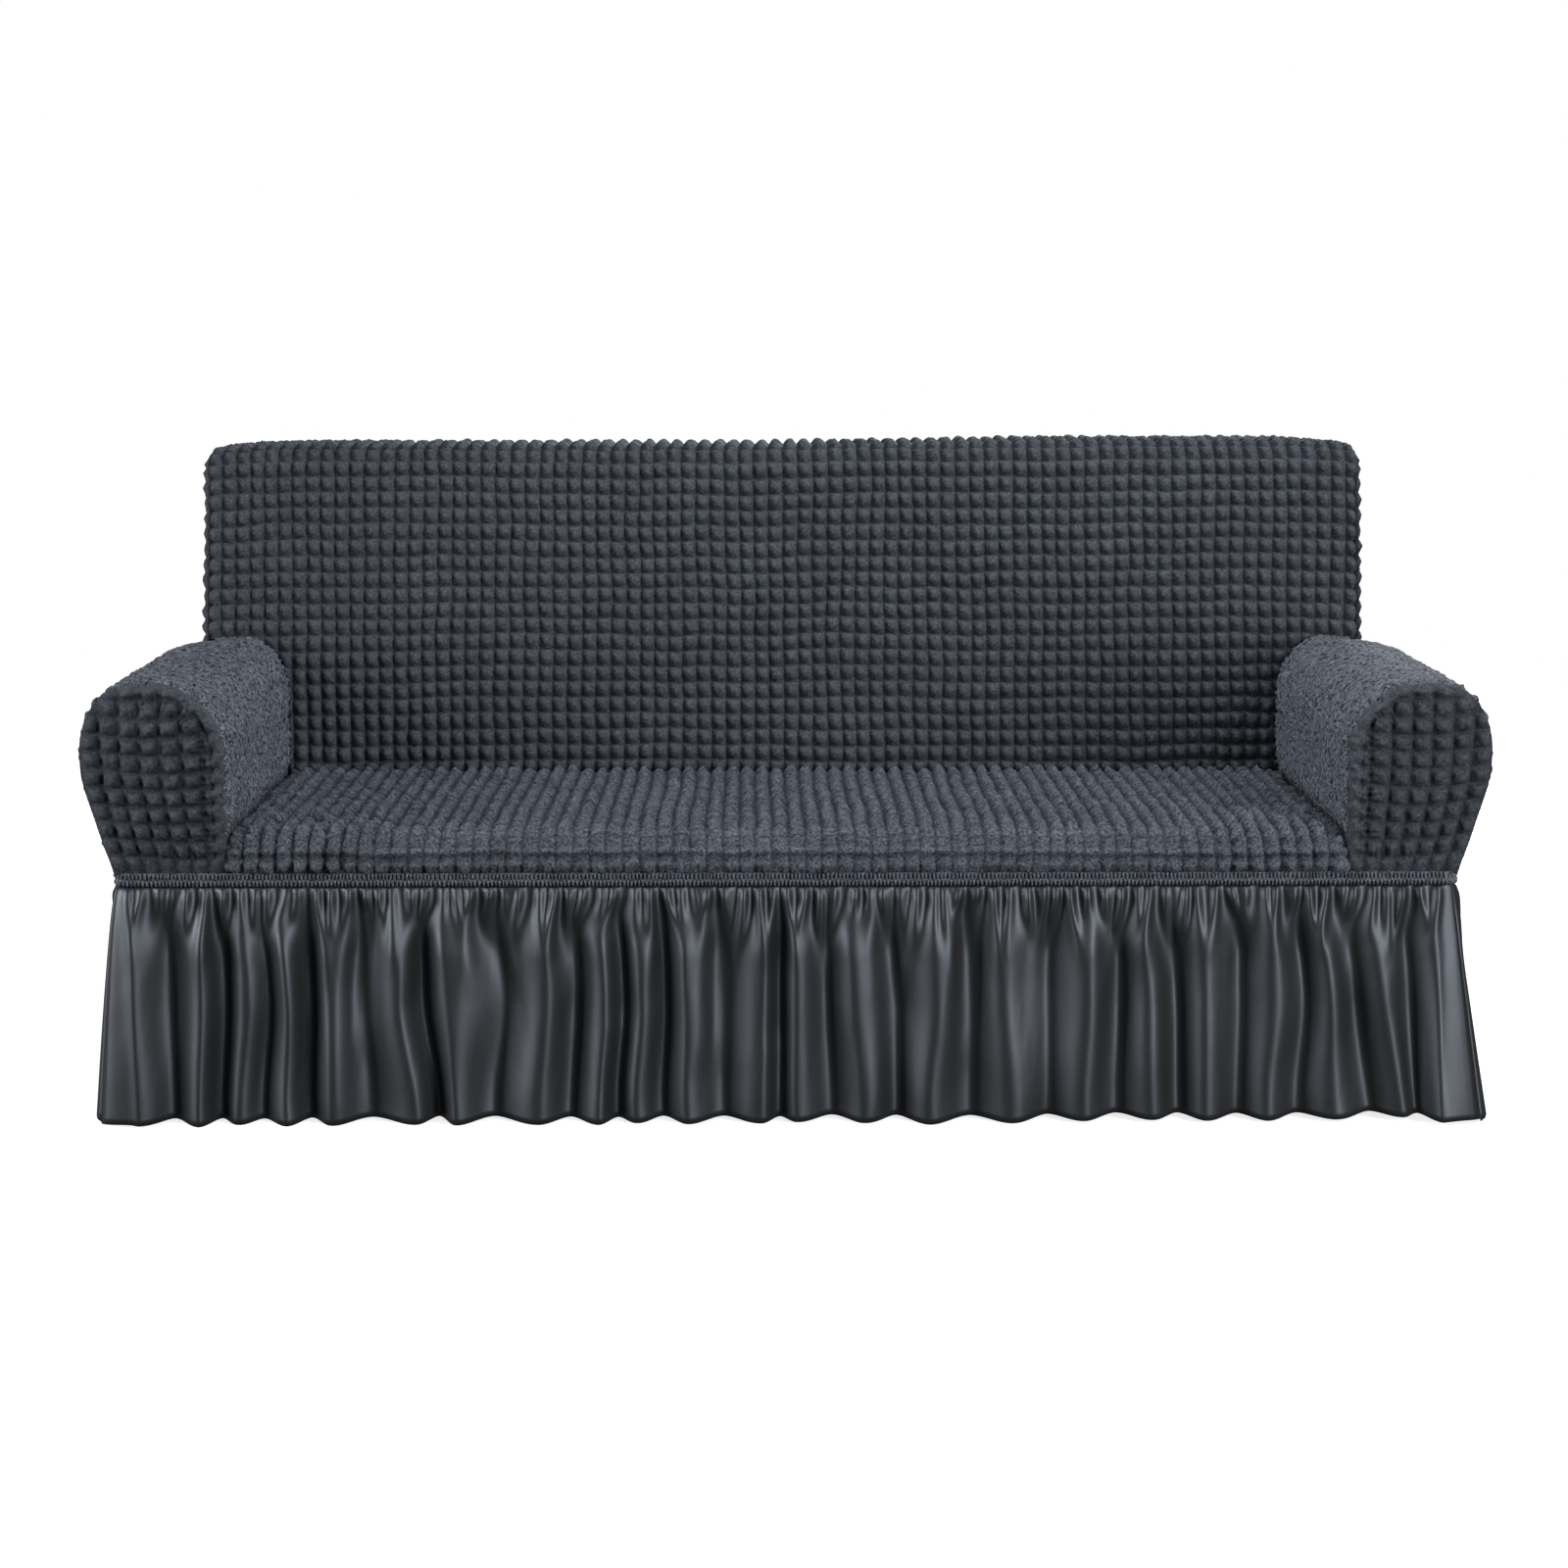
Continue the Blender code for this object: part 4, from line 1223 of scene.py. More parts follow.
@dataclass
class ArmPanel(BubblePanel):
    """The cloth from the seat over the roll of an arm and down its outer side to the band."""

    slot: str = "arm_cloth"
    coarse: int = 4
    hand: Hand = Hand.RIGHT
    around: int = 176
    along: int = 172
    width: float = 0.63
    length: float = 0.62
    foot_z: float = 0.4225
    pucker: float = 0.0028
    ruffle: float = 0.0034  # the ruffles of the front seam
    crumple: float = 0.0048  # the crumples beside it
    stitches_at: float = 0.024  # from the front edge to the line of stitches that draws the cloth in
    stitch_depth: float = 0.0042
    rear_ruffle: float = 0.0024
    pleat: float = 0.0018  # beside the seat and the band
    bubbles: Bubbles = Bubbles(height=0.0066, sharp=1.9, crease=0.3, seed=24.0)

    def surface(self) -> np.ndarray:
        """The smooth surface of the arm, from the front to the back and from the seat to the band.

        Returns:
            Points, rows by columns by 3.
        """
        form = self.form
        radius = form.seat_edge_radius
        share = np.arange(self.around + 1) / self.around
        sections = []
        for y in np.linspace(form.front_y, form.back_foot_y, self.along + 1).tolist():
            short = min(1.0, max(0.0, form.front_y + radius - y) / radius)
            fall = radius * (1 - math.sqrt(1 - 0.96 * short**2))
            sections.append(smooth_line(form.arm_section(y, self.foot_z - fall), share))
        x, z = np.moveaxis(np.array(sections), -1, 0)
        near_y = form.front_y + form.arm_rim_depth(z[:1]) + form.arm_rim_seam
        outside = (x > form.arm_roll_x) & (z < form.arm_cut_top - 0.004)
        far_y = form.back_face_y(z[-1:]) + np.where(outside[-1:], form.cloth, -form.seam_gap)
        v = (np.arange(self.along + 1) / self.along)[:, None]
        return place_of(self.hand.value * x, mix(near_y, far_y, v), z)

    def drape(self) -> Drape:
        """How the arm panel lies, drawn in finely along its seams.

        Returns:
            The grid of its mean surface, and what stands out from it.
        """
        seed = 20.0 + self.hand.value
        share, v = np.meshgrid(*(np.arange(count + 1) / count for count in (self.around, self.along)))
        cells = np.stack([share * self.width / CELL, v * self.length / CELL], axis=-1)
        round_m, along_m = cells[..., 0] * CELL, cells[..., 1] * CELL
        fine = soft_noise(round_m / 0.0085, along_m / 0.0085, seed)
        broad = soft_noise(round_m / 0.019, along_m / 0.016, seed + 1)
        pits = np.minimum(0.0, fine * np.abs(fine) + 0.25 * broad)
        relief = self.pucker * (0.5 * fine + 0.45 * broad + 0.9 * pits) + 0.0016
        slack = np.maximum(ease((share - 0.47) / 0.14), 0.55 * from_edge(along_m, 0.05))
        puffs = self.bubbles.relief(wander(cells / 1.06, seed, 0.10))
        taut = ease((share - 0.58) / 0.10) * from_edge(along_m, 0.16)
        relief = mix(relief, puffs, slack * ease(share / 0.10) * (1 - 0.8 * taut))
        to_seat, to_band = share * self.width, (1 - share) * self.width
        to_front, to_back = v * self.length, (1 - v) * self.length
        sunk = 0.006 * from_edge(to_seat, 0.03) + 0.002 * from_edge(to_back, 0.014)
        sunk += 0.0020 * from_edge(to_front, 0.008)
        points = self.surface()
        normals = self.normals(points)
        points = points - normals * sunk[..., None]
        points = tucked(points, normals, to_band, DOWN)
        points = tucked(points, normals, to_front, FORWARD)
        jitter = soft_noise(round_m / 0.03, along_m * 0, seed + 2)
        ruffle = wave(round_m / 0.0125 + 0.6 * jitter)
        calm = 1 - 0.7 * ease((share - 0.50) / 0.10)
        crumple = soft_noise(round_m / 0.010, along_m / 0.010, seed + 3)
        relief += self.ruffle * ruffle * from_edge(to_front, 0.034) * calm
        relief += self.crumple * crumple * from_edge(np.abs(to_front - 0.014), 0.024) * calm
        relief += self.rear_ruffle * ruffle * from_edge(to_back, 0.022)
        stitched = to_front - self.stitches_at - 0.003 * jitter
        held = from_edge(np.abs(stitched), 0.0065)
        relief -= self.stitch_depth * held * (1 - 0.8 * ease((share - 0.56) / 0.08))
        beside = wave(along_m / 0.014 + 0.6 * jitter)
        relief += self.pleat * beside * from_edge(np.minimum(to_seat, to_band), 0.03)
        return Drape(points, cells, relief, self.form.cloth)


@dataclass
class ArmFront(BubblePanel):
    """The softly domed face of an arm, with its rounded rim."""

    area: float | None = 0.054
    hand: Hand = Hand.RIGHT
    step: float = 0.0025
    columns: int = 7
    row_height: float = 0.0264
    turning: float = 0.0155  # width of the crumpled strip that is turned over from the arm's side
    strip_lift: float = 0.0024
    strip_crumple: float = 0.0042
    seam_depth: float = 0.0046  # of the groove that bounds the strip
    ruffle: float = 0.0026
    bubbles: Bubbles = Bubbles(
        height=0.0082, pad=0.40, sharp=2.3, crease=0.7, lean=0.30, scatter=0.9, crumple=0.6, pleat=0.0,
        seed=14.0,
    )

    def outline(self) -> np.ndarray:
        """The panel's outline as a closed line, for the right arm.

        Returns:
            The x and z of each of its points.
        """
        form = self.form
        upper = smooth_line(form.arm_section(form.front_y, 0.430), np.linspace(0.0, 1.0, 160))
        return np.vstack([[(form.arm_inner_x, form.foot_z)], upper])

    def nearest(self, x: np.ndarray, z: np.ndarray) -> tuple[np.ndarray, np.ndarray]:
        """For each point, how it lies to the outline.

        Args:
            x: distances from the middle.
            z: heights.

        Returns:
            Distance to the outline, positive inside, and its nearest point: x, z and how far round it is.
        """
        line = self.outline()
        ends = np.roll(line, -1, axis=0)
        runs = np.concatenate([[0.0], np.cumsum(np.linalg.norm(ends - line, axis=1))[:-1]])
        best = np.full(x.shape, np.inf)
        near = np.zeros((*x.shape, 3))
        crossings = np.zeros(x.shape, dtype=int)
        for (x0, z0), (x1, z1), run in zip(line, ends, runs, strict=True):
            dx, dz = x1 - x0, z1 - z0
            long = math.hypot(dx, dz)
            t = np.clip(((x - x0) * dx + (z - z0) * dz) / long**2, 0.0, 1.0)
            here = np.stack([x0 + t * dx, z0 + t * dz, run + t * long], axis=-1)
            far = np.hypot(x - here[..., 0], z - here[..., 1])
            closer = far < best
            best[closer] = far[closer]
            near[closer] = here[closer]
            if dz:
                crossings += ((z0 > z) != (z1 > z)) & (x < x0 + (z - z0) * dx / dz)
        return np.where(crossings % 2 == 1, best, -best), near

    def drape(self) -> Drape:
        """How the arm front lies, with the cloth's grid fanned out a little towards the roll.

        Returns:
            The grid of its mean surface, and what stands out from it.
        """
        form = self.form
        low_z = form.foot_z
        high_z = form.arm_roll_z + form.arm_roll_radius
        near_x, far_x = form.arm_inner_x, form.arm_roll_x + form.arm_roll_outer
        spans = ((near_x, far_x), (low_z, high_z))
        steps = [int(round((end - start) / self.step / self.coarse)) * self.coarse for start, end in spans]
        x, z = np.meshgrid(*(np.linspace(*span, n + 1) for span, n in zip(spans, steps, strict=True)))
        inside, edge = self.nearest(x, z)
        around = edge[..., 2]
        keep = inside > 1e-6
        side_x, side_z = np.array([(far_x, form.arm_roll_z), *[(top[0], top[2]) for top in form.arm_outer]]).T
        outer_x = np.interp(z[:, 0], side_z[::-1], side_x[::-1])[:, None]
        column = self.columns * (x - near_x) / (outer_x - near_x)
        row = (z - low_z) / self.row_height + 0.25 * np.sin(column * 0.5)
        seed = 30.0 + self.hand.value
        cells = wander(np.stack([column, row], axis=-1) + 3.0, seed, 0.14)
        depth = form.arm_rim_depth(z)
        inner = np.clip(inside / depth, 0.0, 1.0)
        setback = depth * (1 - np.sqrt(np.maximum(0.0, 1 - (1 - inner) ** 2)))
        at_foot = ease((z - low_z) / 0.02)
        dome = form.arm_front_dome * ease(inside / 0.075)
        points = place_of(self.hand.value * x, form.front_y + setback * at_foot - dome, z)
        foot = np.clip(z - low_z, 0.0, None)
        points = tucked(points, np.array(FORWARD), foot, DOWN)
        shift = place_of(self.hand.value * (edge[..., 0] - x), 0 * x, edge[..., 1] - z) * ~keep[..., None]
        inside = np.maximum(0.0, inside)
        calm = from_edge(inside, 0.020)
        relief = self.bubbles.relief(cells, creased=ease((inside - 0.01) / 0.025))
        relief *= (1 - 0.95 * calm) * mix(0.45, 1.0, ease((z - low_z) / 0.05))
        swing = soft_noise(around / 0.035, 0 * around, seed + 4)
        ruffle = wave(around / 0.0115 + 0.7 * swing)
        inner_side = 1 - 0.85 * ease((column - 0.40 * self.columns) / (0.3 * self.columns))
        relief += self.ruffle * ruffle * from_edge(np.abs(inside - 0.030), 0.022) * inner_side
        over = from_edge(np.abs(around - 0.21), 0.23) ** 0.25 * (around < 0.44)
        strip = over * (1 - ease((inside - self.turning + 0.006) / 0.006))
        crumple = soft_noise(around / 0.0075, inside / 0.0070, seed + 5)
        crumple += 0.5 * soft_noise(around / 0.016, inside / 0.012, seed + 6)
        strip *= ease((z - low_z - 0.010) / 0.03)
        relief += strip * (self.strip_lift + self.strip_crumple * crumple)
        relief -= self.seam_depth * over * from_edge(np.abs(inside - self.turning - 0.0015), 0.0055)
        cells = np.concatenate([cells, strip[..., None]], axis=-1)
        return Drape(points, cells, relief, self.depth, keep, shift)


@dataclass
class ElasticBand(Panel):
    """The ring of shirred elastic between the bubble cloth and the skirt."""

    slot: str = "elastic_band"
    coarse: int = 5
    ring: bool = True
    turned: bool = True
    rib_pitch: float = 0.0058
    rib_columns: int = 5
    rib_height: float = 0.0056
    stitch_rows: int = 2
    rows: int = 10

    def drape(self) -> Drape:
        """How the band lies: two rows of upright ribs between three rows of stitches.

        Returns:
            The grid of its mean surface, and what stands out from it.
        """
        form = self.form
        runs = {side: 2 * form.side_reach(side) for side in Side}
        total = sum(runs.values())
        count = int(round(total / self.rib_pitch)) * self.rib_columns
        v = (np.arange(self.rows + 1) / self.rows)[:, None]
        along = np.arange(count) / count * total
        points = np.zeros((self.rows + 1, count, 3))
        start = 0.0
        for side, run in runs.items():
            here = (along >= start) & (along < start + run)
            place = along[here] - start - form.side_reach(side)
            spread = np.broadcast_arrays(place[None, :], form.band_bulge * np.sin(math.pi * v))
            points[:, here, 0], points[:, here, 1] = form.plan_point(side, *spread)
            start += run
        points[..., 2] = form.band_top - form.band_height * v
        rib = np.arange(count)[None, :] / self.rib_columns + 0 * v
        half_row = np.floor(v * self.stitch_rows - 1e-9)
        sway = 0.35 * soft_noise(rib / 5, 0 * rib, 41.0) + 0.5 * half_row
        tall = 0.75 + 0.5 * hashed(np.floor(rib + sway), half_row + 0 * rib, 42.0)
        shape = (0.5 + 0.5 * np.cos(2 * math.pi * (rib + sway))) ** 1.5
        pinch = np.abs(np.sin(math.pi * self.stitch_rows * v)) ** 0.6
        relief = self.rib_height * shape * tall * (0.25 + 0.75 * pinch) - 0.0012
        cells = np.stack([along[None, :] / CELL + 0 * v, v * 0.9 + 0 * rib], axis=-1)
        return Drape(points, cells, relief, form.cloth)


@dataclass(frozen=True)
class CornerFlare:
    """How much further the skirt stands out at one of its corners."""

    size: float  # at the hem
    rise: float  # power of the way down: below 1, it puffs out right under the band


FRONT_LEFT = CornerFlare(size=0.024, rise=0.35)
FRONT_RIGHT = CornerFlare(size=0.041, rise=1.0)
REAR_RIGHT = CornerFlare(size=0.034, rise=0.8)
REAR_LEFT = CornerFlare(size=0.028, rise=0.5)
SIDE_CORNERS = {  # from a side's start to its end, as its folds are counted
    Side.FRONT: (FRONT_LEFT, FRONT_RIGHT),
    Side.RIGHT: (FRONT_RIGHT, REAR_RIGHT),
    Side.REAR: (REAR_RIGHT, REAR_LEFT),
    Side.LEFT: (REAR_LEFT, FRONT_LEFT),
}


@dataclass(frozen=True)
class Fold:
    """One broad fold of the skirt, in millimetres from the side's middle."""

    top: float  # where its ridge leaves the band
    hem: float  # where its ridge meets the hem
    depth: float  # from its ridge to the valley after it
    lift: float  # height of the hem above the floor


@dataclass(frozen=True)
class Crease:
    """One small ridge of the front skirt, in millimetres from the middle and shares of the skirt's height."""

    top: float  # where it leaves the band, or would if it ran up to it
    hem: float  # where it meets the hem, or would if it ran down to it
    start: float
    end: float
    height: float


# The front's folds and creases were placed one by one, from left to right.
FRONT_FOLDS = tuple(
    Fold(*place)
    for place in (
        (-973, -992, 22, 2), (-877, -901, 38, 0), (-810, -836, 24, 0), (-756, -756, 34, 0),
        (-680, -689, 34, 1), (-582, -580, 34, 2), (-512, -509, 40, 2), (-357, -377, 36, 1),
        (-278, -283, 32, 1), (-230, -220, 26, 2), (-158, -143, 38, 3), (-32, -33, 28, 2),
        (15, 21, 26, 3), (102, 108, 36, 3), (216, 231, 38, 1), (332, 348, 34, 2),
        (450, 467, 36, 5), (529, 556, 30, 6), (613, 642, 34, 5), (721, 744, 32, 4),
        (789, 849, 32, 6), (868, 948, 28, 8), (963, 1000, 20, 8),
    )
)
FRONT_CREASES = tuple(
    Crease(*place)
    for place in (
        (-930, -960, 0.0, 0.45, 5), (-905, -905, 0.0, 0.30, 5), (-845, -850, 0.0, 0.28, 5),
        (-783, -801, 0.0, 1.1, 4), (-730, -720, 0.0, 0.30, 6), (-655, -660, 0.0, 1.1, 5),
        (-622, -632, 0.0, 0.80, 6), (-605, -600, 0.0, 0.32, 5), (-555, -562, 0.0, 0.55, 6),
        (-475, -485, 0.0, 0.50, 6), (-445, -439, 0.0, 0.30, 6), (-411, -418, 0.0, 0.52, 6),
        (-320, -328, 0.0, 0.55, 6), (-250, -263, 0.5, 1.1, 4), (-204, -208, 0.0, 0.50, 5),
        (-125, -118, 0.0, 0.85, 6), (-88, -94, 0.0, 0.85, 5), (-14, -12, 0.6, 1.1, 4),
        (60, 66, 0.0, 0.30, 6), (130, 137, 0.0, 1.1, 5), (150, 152, 0.0, 0.30, 6),
        (173, 172, 0.0, 0.55, 6), (245, 246, 0.0, 0.52, 6), (279, 282, 0.0, 0.85, 5),
        (378, 384, 0.0, 1.1, 6), (483, 484, 0.0, 0.55, 5), (578, 590, 0.0, 0.30, 6),
        (648, 668, 0.2, 1.1, 4), (678, 690, 0.0, 0.32, 6), (750, 768, 0.0, 1.1, 5),
        (828, 872, 0.0, 0.55, 5), (908, 925, 0.0, 0.55, 5),
    )
)


@dataclass
class Skirt(Panel):
    """One side of the skirt: tight gathers under the band that run together into broad folds."""

    slot: str = "satin_skirt"
    held: str = "gathered"
    rests_on: Sequence[str] = ("elastic_band",)
    coarse: int = 1
    turned: bool = True
    side: Side = Side.FRONT
    folds: tuple[Fold, ...] = FRONT_FOLDS
    creases: tuple[Crease, ...] = FRONT_CREASES
    column_width: float = 0.0034
    rows: int = 54
    gather_pitch: float = 0.0235
    gather_height: float = 0.0122
    crease_width: float = 0.0085  # at the band
    gather_width: float = 0.0062
    widening: float = 0.014  # how much wider both are at the hem
    gather_pull: float = 0.016  # how far a gather bends to meet the nearest fold
    gather_sink: float = 0.0025  # how far the band draws the cloth in between them
    sway: float = 0.012  # how far the folds stray sideways between the band and the hem
    swing: float = 0.0034  # how far the cloth between them swings in and out
    valley_lift: float = 0.10  # how much higher the hem hangs in the valleys, as a share of their depth
    head_row: float = 0.0102  # share of the height above which the edge goes up behind the band
    head_inset: float = 0.0028
    head_lift: tuple[float, float] = (0.0022, 0.0010)  # of the two top rows, and of the edge row besides
    cloth: float = 0.0012

    def fold_height(self, place: np.ndarray, level: np.ndarray) -> tuple[np.ndarray, np.ndarray]:
        """How far the broad folds stand out, and how high the hem is above the floor.

        Args:
            place: distance of each column from the side's middle at the hem's or the band's scale.
            level: 0 at the band to 1 at the hem, one for each row.

        Returns:
            The folds' height and the hem's height at each point.
        """
        reach = self.form.side_reach(self.side)
        tops, hems, depths, lifts = np.array([astuple(fold) for fold in self.folds], dtype=float).T * MM
        hems = hems * (reach / (reach + self.form.skirt_flare))
        inner = (np.abs(tops) < reach - 0.006) & (np.abs(hems) < reach - 0.006)
        tops, hems, depths, lifts = tops[inner], hems[inner], depths[inner], lifts[inner]
        numbers = np.arange(len(tops), dtype=float)
        marks = np.concatenate([[-0.5], numbers, [numbers[-1] + 0.5]])
        height = np.zeros(place.shape)
        lift = np.zeros(place.shape)
        for row, share in enumerate(level):
            ridges = np.concatenate([[-reach], mix(tops, hems, share), [reach]])
            number = np.interp(place[row], ridges, marks)
            depth = np.interp(number, numbers, depths)
            lift[row] = np.interp(number, numbers, lifts)
            swell = (0.5 + 0.5 * np.cos(2 * math.pi * number)) ** 0.85
            ends = np.clip(np.minimum(number + 0.5, numbers[-1] + 0.5 - number) * 2, 0.0, 1.0)
            height[row] = depth * (swell - 0.5) * ease(ends)
        return height, lift

    def ridge(self, offset: np.ndarray, width: float) -> np.ndarray:
        """The section of a small ridge, 1 on its crest."""
        return np.exp(-((offset / width) ** 2))

    def corner_outset(self, place: np.ndarray, level: np.ndarray) -> np.ndarray:
        """How much further the skirt stands out near its two corners.

        Args:
            place: distance of each point from the side's middle.
            level: 0 at the band to 1 at the hem, for each point.

        Returns:
            Distances in metres.
        """
        near = ease(1 - (self.form.side_reach(self.side) - np.abs(place)) / self.form.corner_reach)
        start, end = SIDE_CORNERS[self.side]
        grown = np.where(place < 0, start.size * level**start.rise, end.size * level**end.rise)
        return grown * near

    def small_ridges(self, place: np.ndarray, level: np.ndarray) -> np.ndarray:
        """The gathers under the band and the creases between the broad folds.

        Args:
            place: distance of each column from the side's middle.
            level: 0 at the band to 1 at the hem, for each point.

        Returns:
            Heights in metres.
        """
        reach = self.form.side_reach(self.side)
        height = np.zeros(place.shape)
        for crease in self.creases:
            centre = mix(crease.top, crease.hem, level) * MM
            grown = ease((level - crease.start) / 0.12 + (crease.start <= 0))
            alive = grown * ease((crease.end - level) / 0.22)
            tall = crease.height * MM * (1.1 - 0.25 * level)
            section = self.ridge(place - centre, self.crease_width + self.widening * level)
            height = np.maximum(height, tall * alive * section)
        from_band = [crease for crease in self.creases if crease.start <= 0]
        crests = np.array([ridge.top for ridge in (*self.folds, *from_band)]) * MM
        seed = 50.0 + len(self.side.value)
        gathers = np.zeros(place.shape)
        for k in range(int(2 * reach / self.gather_pitch)):
            jitter, length, size = (float(hashed(np.array(k), np.array(n), seed)) for n in (1, 2, 3))
            start = -reach + (k + 0.5 + 0.45 * (jitter - 0.5)) * self.gather_pitch
            nearest = float(crests[np.abs(crests - start).argmin()])
            pull = float(np.clip(nearest - start, -self.gather_pull, self.gather_pull))
            long = 0.14 + 0.30 * length + 4 * abs(pull)
            tall = self.gather_height * (0.7 + 0.6 * size)
            centre = start + pull * ease(level / long)
            alive = ease(1.0 - level / long) * (0.62 + 0.38 * ease(level / 0.05))
            section = self.ridge(place - centre, self.gather_width + self.widening * level)
            gathers = np.maximum(gathers, tall * alive * section)
        return np.maximum(height, gathers) + 0.35 * np.minimum(height, gathers)

    def drape(self) -> Drape:
        """How this side of the skirt hangs.

        Returns:
            The grid of its mean surface, and what stands out from it.
        """
        form = self.form
        reach = form.side_reach(self.side) - form.skirt_seam
        even = np.arange(self.rows + 1) / self.rows
        level = 0.55 * even + 0.45 * even**2.2
        columns = np.linspace(-reach, reach, int(round(2 * reach / self.column_width)) + 1)
        place, levels = np.meshgrid(columns, level)
        seed = 60.0 + len(self.side.value)
        free = ease((reach - np.abs(place)) / 0.07) * ease(levels / 0.30)
        bent = place + self.sway * free * soft_noise(place / 0.11, levels * 2.1, seed + 1)
        broad, lift = self.fold_height(bent, level)
        gather = self.small_ridges(bent, levels)
        away = np.clip((reach - np.abs(place)) / 0.012, 0.0, 1.0)
        swing = soft_noise(place / 0.075, levels * 2.6, seed)
        gathered = (gather - self.gather_sink) * away
        out = broad * ease(levels / form.fold_full) + gathered + self.swing * swing * free
        head = from_edge(levels, self.head_row)
        out = mix(out, -self.head_inset, head)
        outset = form.skirt_flare * levels + out + self.corner_outset(place, levels)
        x, y = form.plan_point(self.side, place, outset)
        lift += self.valley_lift * np.clip(0.020 - broad, 0.0, None) * away
        z = mix(form.skirt_top, lift + form.hem_clearance, levels)
        z += self.head_lift[0] * from_edge(levels, 0.02) + self.head_lift[1] * head
        cells = np.stack([place / CELL, (1 - levels) * 0.357 / CELL], axis=-1)
        return Drape(place_of(x, y, z), cells, np.zeros(place.shape), self.cloth)


@dataclass
class HiddenSkirt(Skirt):
    """A side of the skirt that the front view hides, with uneven folds as at the front and in the solids."""

    creases: tuple[Crease, ...] = ()
    column_width: float = 0.0046
    rows: int = 44

    def __post_init__(self) -> None:
        """Lays the folds from one corner to the other."""
        reach = self.form.side_reach(self.side)
        pitch = 0.086 if self.side is Side.REAR else 0.080
        count = round(2 * reach / pitch)
        folds = []
        for i in range(count + 1):
            at = mix(-reach, reach, i / count)
            free = math.sin(math.pi * i / count)
            shift = 0.22 * pitch * math.sin(2.3 * i + len(self.side.value)) * min(1.0, 3 * free)
            depth = 0.030 * (1 + 0.25 * math.sin(1.9 * i + 2)) * min(1.0, 0.6 + free)
            lift = 3 + 2 * math.sin(0.8 * i)
            place = 1000 * (at + shift)
            folds.append(Fold(place - 6 * math.sin(1.3 * i) * free, place, 1000 * depth, lift))
        self.folds = tuple(folds)


# ---------------------------------------------------------------- studio
def stand(name: str, data: bpy.types.ID, place: Sequence[float], turn: Sequence[float]) -> bpy.types.Object:
    """Puts a lamp or a camera into the scene.

    Args:
        name: its name.
        data: the lamp or the camera.
        place: where it stands.
        turn: its rotation, in radians.

    Returns:
        The object.
    """
    holder = bpy.data.objects.new(name, data)
    bpy.context.scene.collection.objects.link(holder)
    holder.location = place
    holder.rotation_euler = turn
    return holder


@dataclass(frozen=True)
class Lamp:
    """A soft box: its place, the point it faces, its size and its power in watts."""

    name: str
    place: tuple[float, float, float]
    target: tuple[float, float, float]
    size: tuple[float, float]
    power: float

    def light(self) -> None:
        """Hangs the soft box and turns it to its point."""
        light = bpy.data.lights.new(self.name, "AREA")
        light.shape = "RECTANGLE"
        light.size, light.size_y = self.size
        light.energy = self.power
        aim = np.array(self.target) - np.array(self.place)
        flat = math.hypot(aim[0], aim[1])
        turn = (math.atan2(flat, -aim[2]), 0.0, math.atan2(-aim[0], aim[1]))
        stand(self.name, light, self.place, turn).visible_camera = False


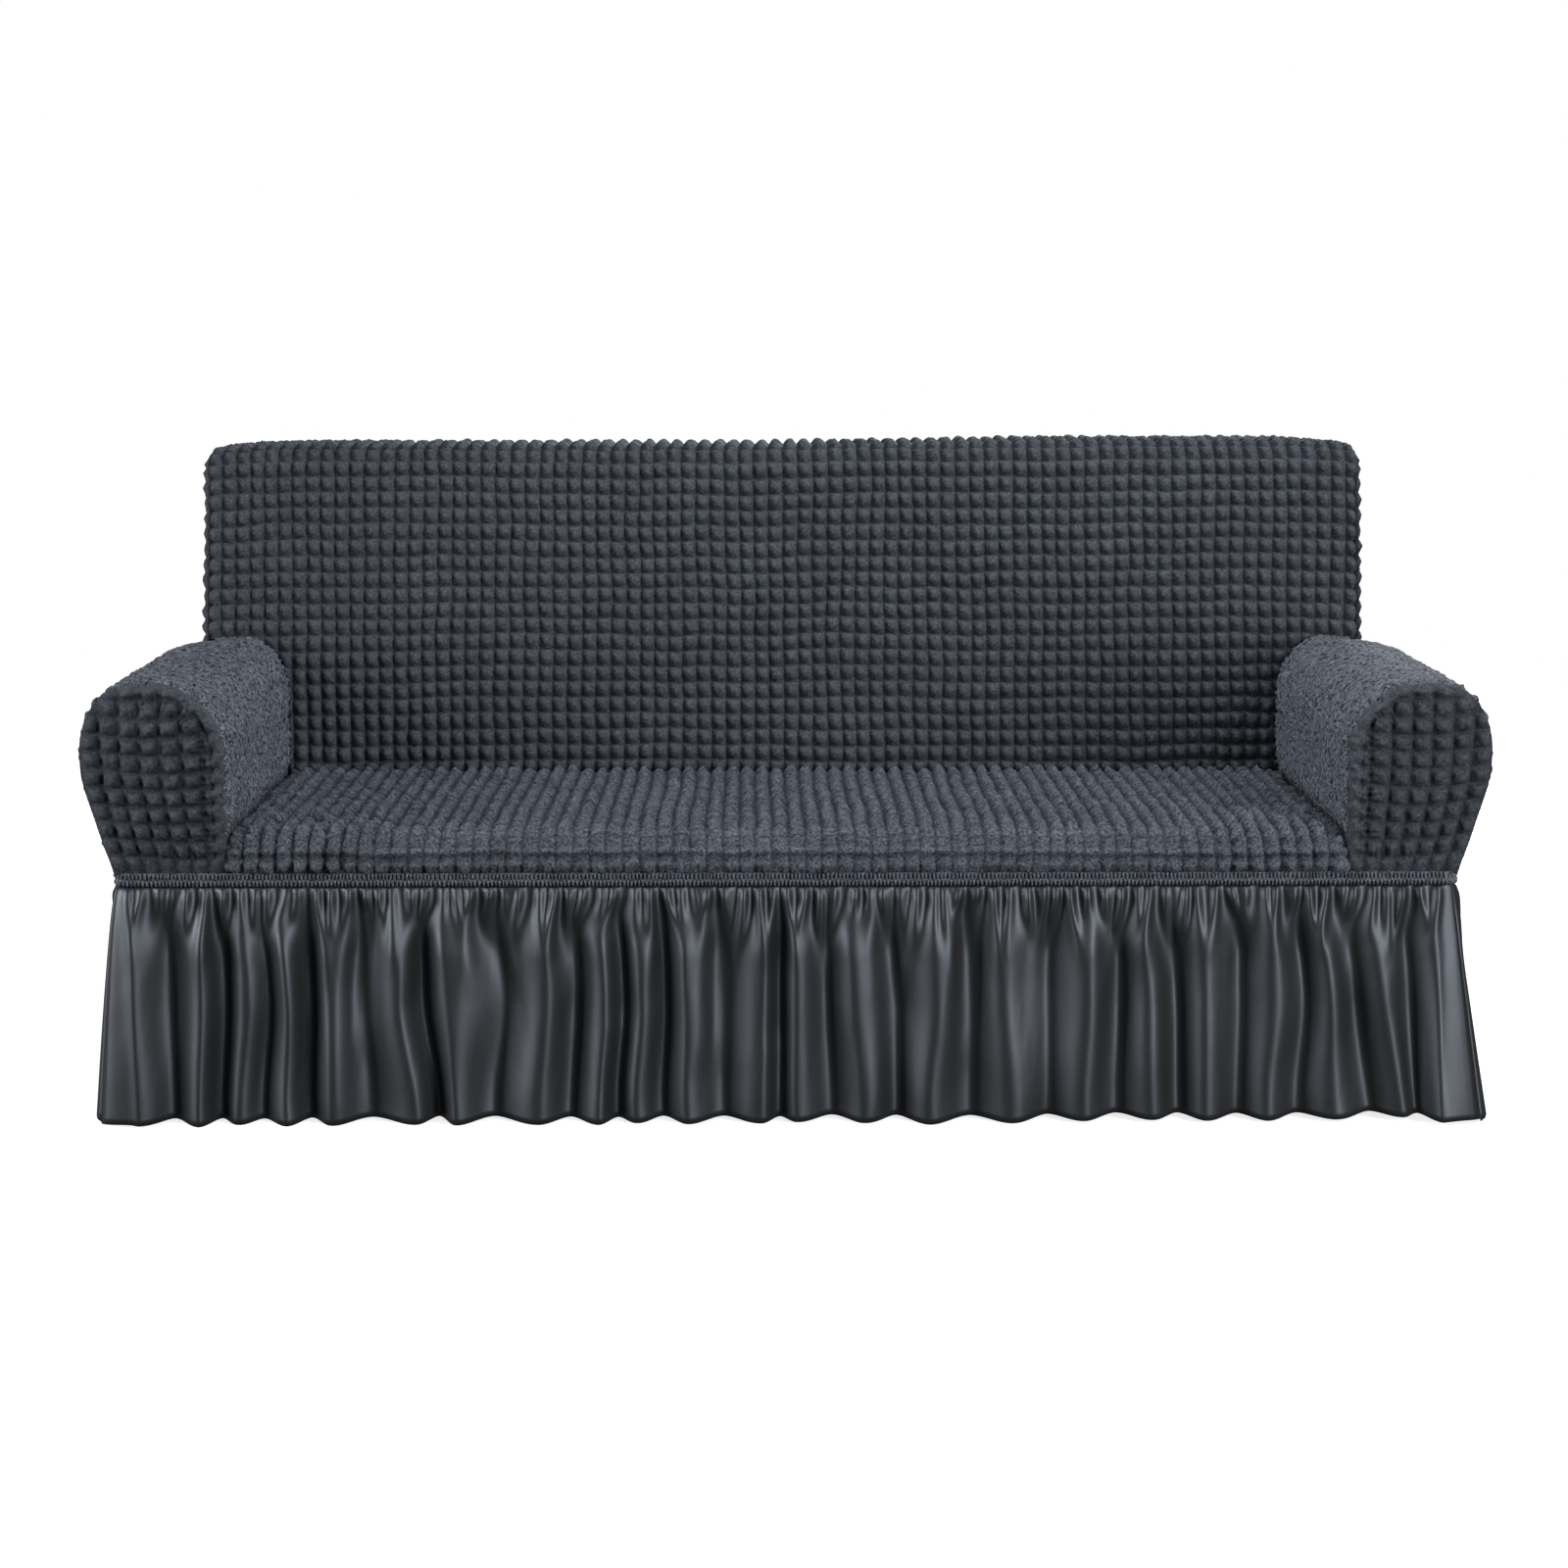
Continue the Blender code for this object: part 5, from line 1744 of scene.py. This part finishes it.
@dataclass(frozen=True)
class Studio:
    """A plain pale floor, soft light and the camera at the photograph's angle."""

    camera: tuple[float, float, float] = (-0.043, -4.733, 1.239)
    camera_pitch: float = 9.6
    camera_yaw: float = -0.506
    lens: float = 67.5
    sensor: float = 36.0
    backdrop: float = 1.0  # the white that the camera sees behind the cover
    room: float = 0.10  # light of the room on the cover
    floor_size: float = 9.0
    lamps: tuple[Lamp, ...] = (
        Lamp("key", (4.6, -4.6, 5.0), (0.0, 0.0, 0.6), (1.6, 1.6), 135.0),
        Lamp("top", (0.3, -0.3, 2.05), (0.2, 0.0, 0.4), (2.2, 0.6), 20.0),
        Lamp("right box", (3.3, -4.0, 1.3), (0.0, -0.3, 0.3), (1.5, 2.3), 150.0),
        Lamp("left box", (-4.4, -1.7, 1.5), (0.0, -0.2, 0.5), (1.8, 2.3), 156.0),
        Lamp("rear box", (1.4, 4.8, 2.3), (0.0, 0.4, 0.45), (3.0, 1.8), 260.0),
    )

    def make_floor(self) -> None:
        """Lays the floor, which isn't part of the cover."""
        bpy.ops.object.select_all(action="DESELECT")
        bpy.ops.mesh.primitive_plane_add(size=self.floor_size, location=(0.0, 0.0, 0.0))
        floor = bpy.context.object
        floor.name = "studio_floor"
        floor.data.materials.append(PaleFloor().material())
        floor.visible_diffuse = False  # the floor throws no light up, as in the photograph's cut-out
        floor.visible_glossy = False

    def make_room(self) -> None:
        """Sets the even light of a white room."""
        world = bpy.data.worlds.new("white room")
        world.use_nodes = True
        seen = add_node(world.node_tree, "LightPath").node.outputs["Is Camera Ray"]
        light = add_node(world.node_tree, "MapRange", {0: seen, "To Min": self.room, "To Max": self.backdrop})
        fill(world.node_tree.nodes["Background"], {"Color": WHITE, "Strength": light})
        bpy.context.scene.world = world

    def make_camera(self) -> None:
        """Sets the camera where the photograph was taken from."""
        view = bpy.data.cameras.new("camera")
        view.lens = self.lens
        view.sensor_width = self.sensor
        view.dof.use_dof = False
        turn = (math.radians(90.0 - self.camera_pitch), 0.0, math.radians(self.camera_yaw))
        bpy.context.scene.camera = stand("camera", view, self.camera, turn)

    def build(self) -> None:
        """Sets up the floor, the lights and the camera."""
        self.make_floor()
        for lamp in self.lamps:
            lamp.light()
        self.make_room()
        self.make_camera()
        bpy.context.scene.view_settings.view_transform = "Standard"


# ---------------------------------------------------------------- assembly
def panels(form: SofaForm) -> list[Panel]:
    """All the panels of the cover.

    Args:
        form: the sofa under them.

    Returns:
        The panels, in the order in which they are made.
    """
    bubble = BubbleCloth()
    # The arm fronts and the seat carry less of the painted shade on one side of each puff.
    slack = BubbleCloth(name="slack seersucker knit", band_from=0.27, shade_share=0.6)
    # The seat's grooves are painted much darker than its crests, as shade.
    ribbed = BubbleCloth(
        name="ribbed seersucker knit", crest="#555B65", groove="#3B3F46", shade_share=0.2, grain=(0.3, 1.55),
        crumple_mm=5.0, crumple_depth_mm=3.4, yarn_mm=4.2, yarn_depth_mm=2.0,
    )
    pulled, satin = PuckeredCloth(), Satin()
    cover: list[Panel] = [
        SeatPanel(form, ribbed, "seat_cloth", "seat_panel", (1.67, 0.66), turned=True),
        BackPanel(form, bubble, "back_cloth", "back_panel", (1.93, 0.72)),
        OutsideBack(form, bubble, "outside_back_cloth", "outside_back", (2.45, 0.58), coarse=4),
    ]
    for hand in Hand:
        word = hand.name.lower()
        way = {"turned": hand is Hand.LEFT, "hand": hand}
        cover.append(ArmPanel(form, pulled, f"arm_cloth_{word}", f"arm_panel_{word}", (0.62, 0.63), **way))
        cover.append(ArmFront(form, slack, f"arm_face_{word}", f"arm_front_{word}", (0.22, 0.29), **way))
    cover.append(ElasticBand(form, ShirredElastic(), "band_cloth", "elastic_band", (6.60, 0.024)))
    for side, width in ((Side.FRONT, 2.65), (Side.RIGHT, 1.18), (Side.REAR, 2.55), (Side.LEFT, 1.18)):
        kind = Skirt if side is Side.FRONT else HiddenSkirt
        word = side.value
        cover.append(kind(form, satin, f"skirt_cloth_{word}", f"skirt_{word}", (width, 0.36), side=side))
    return cover


def main() -> None:
    """Dresses the cover and sets up the studio."""
    logging.basicConfig(level=logging.INFO, format="%(message)s")
    for panel in panels(SofaForm()):
        panel.build()
    Studio().build()


if __name__ == "__main__":
    main()
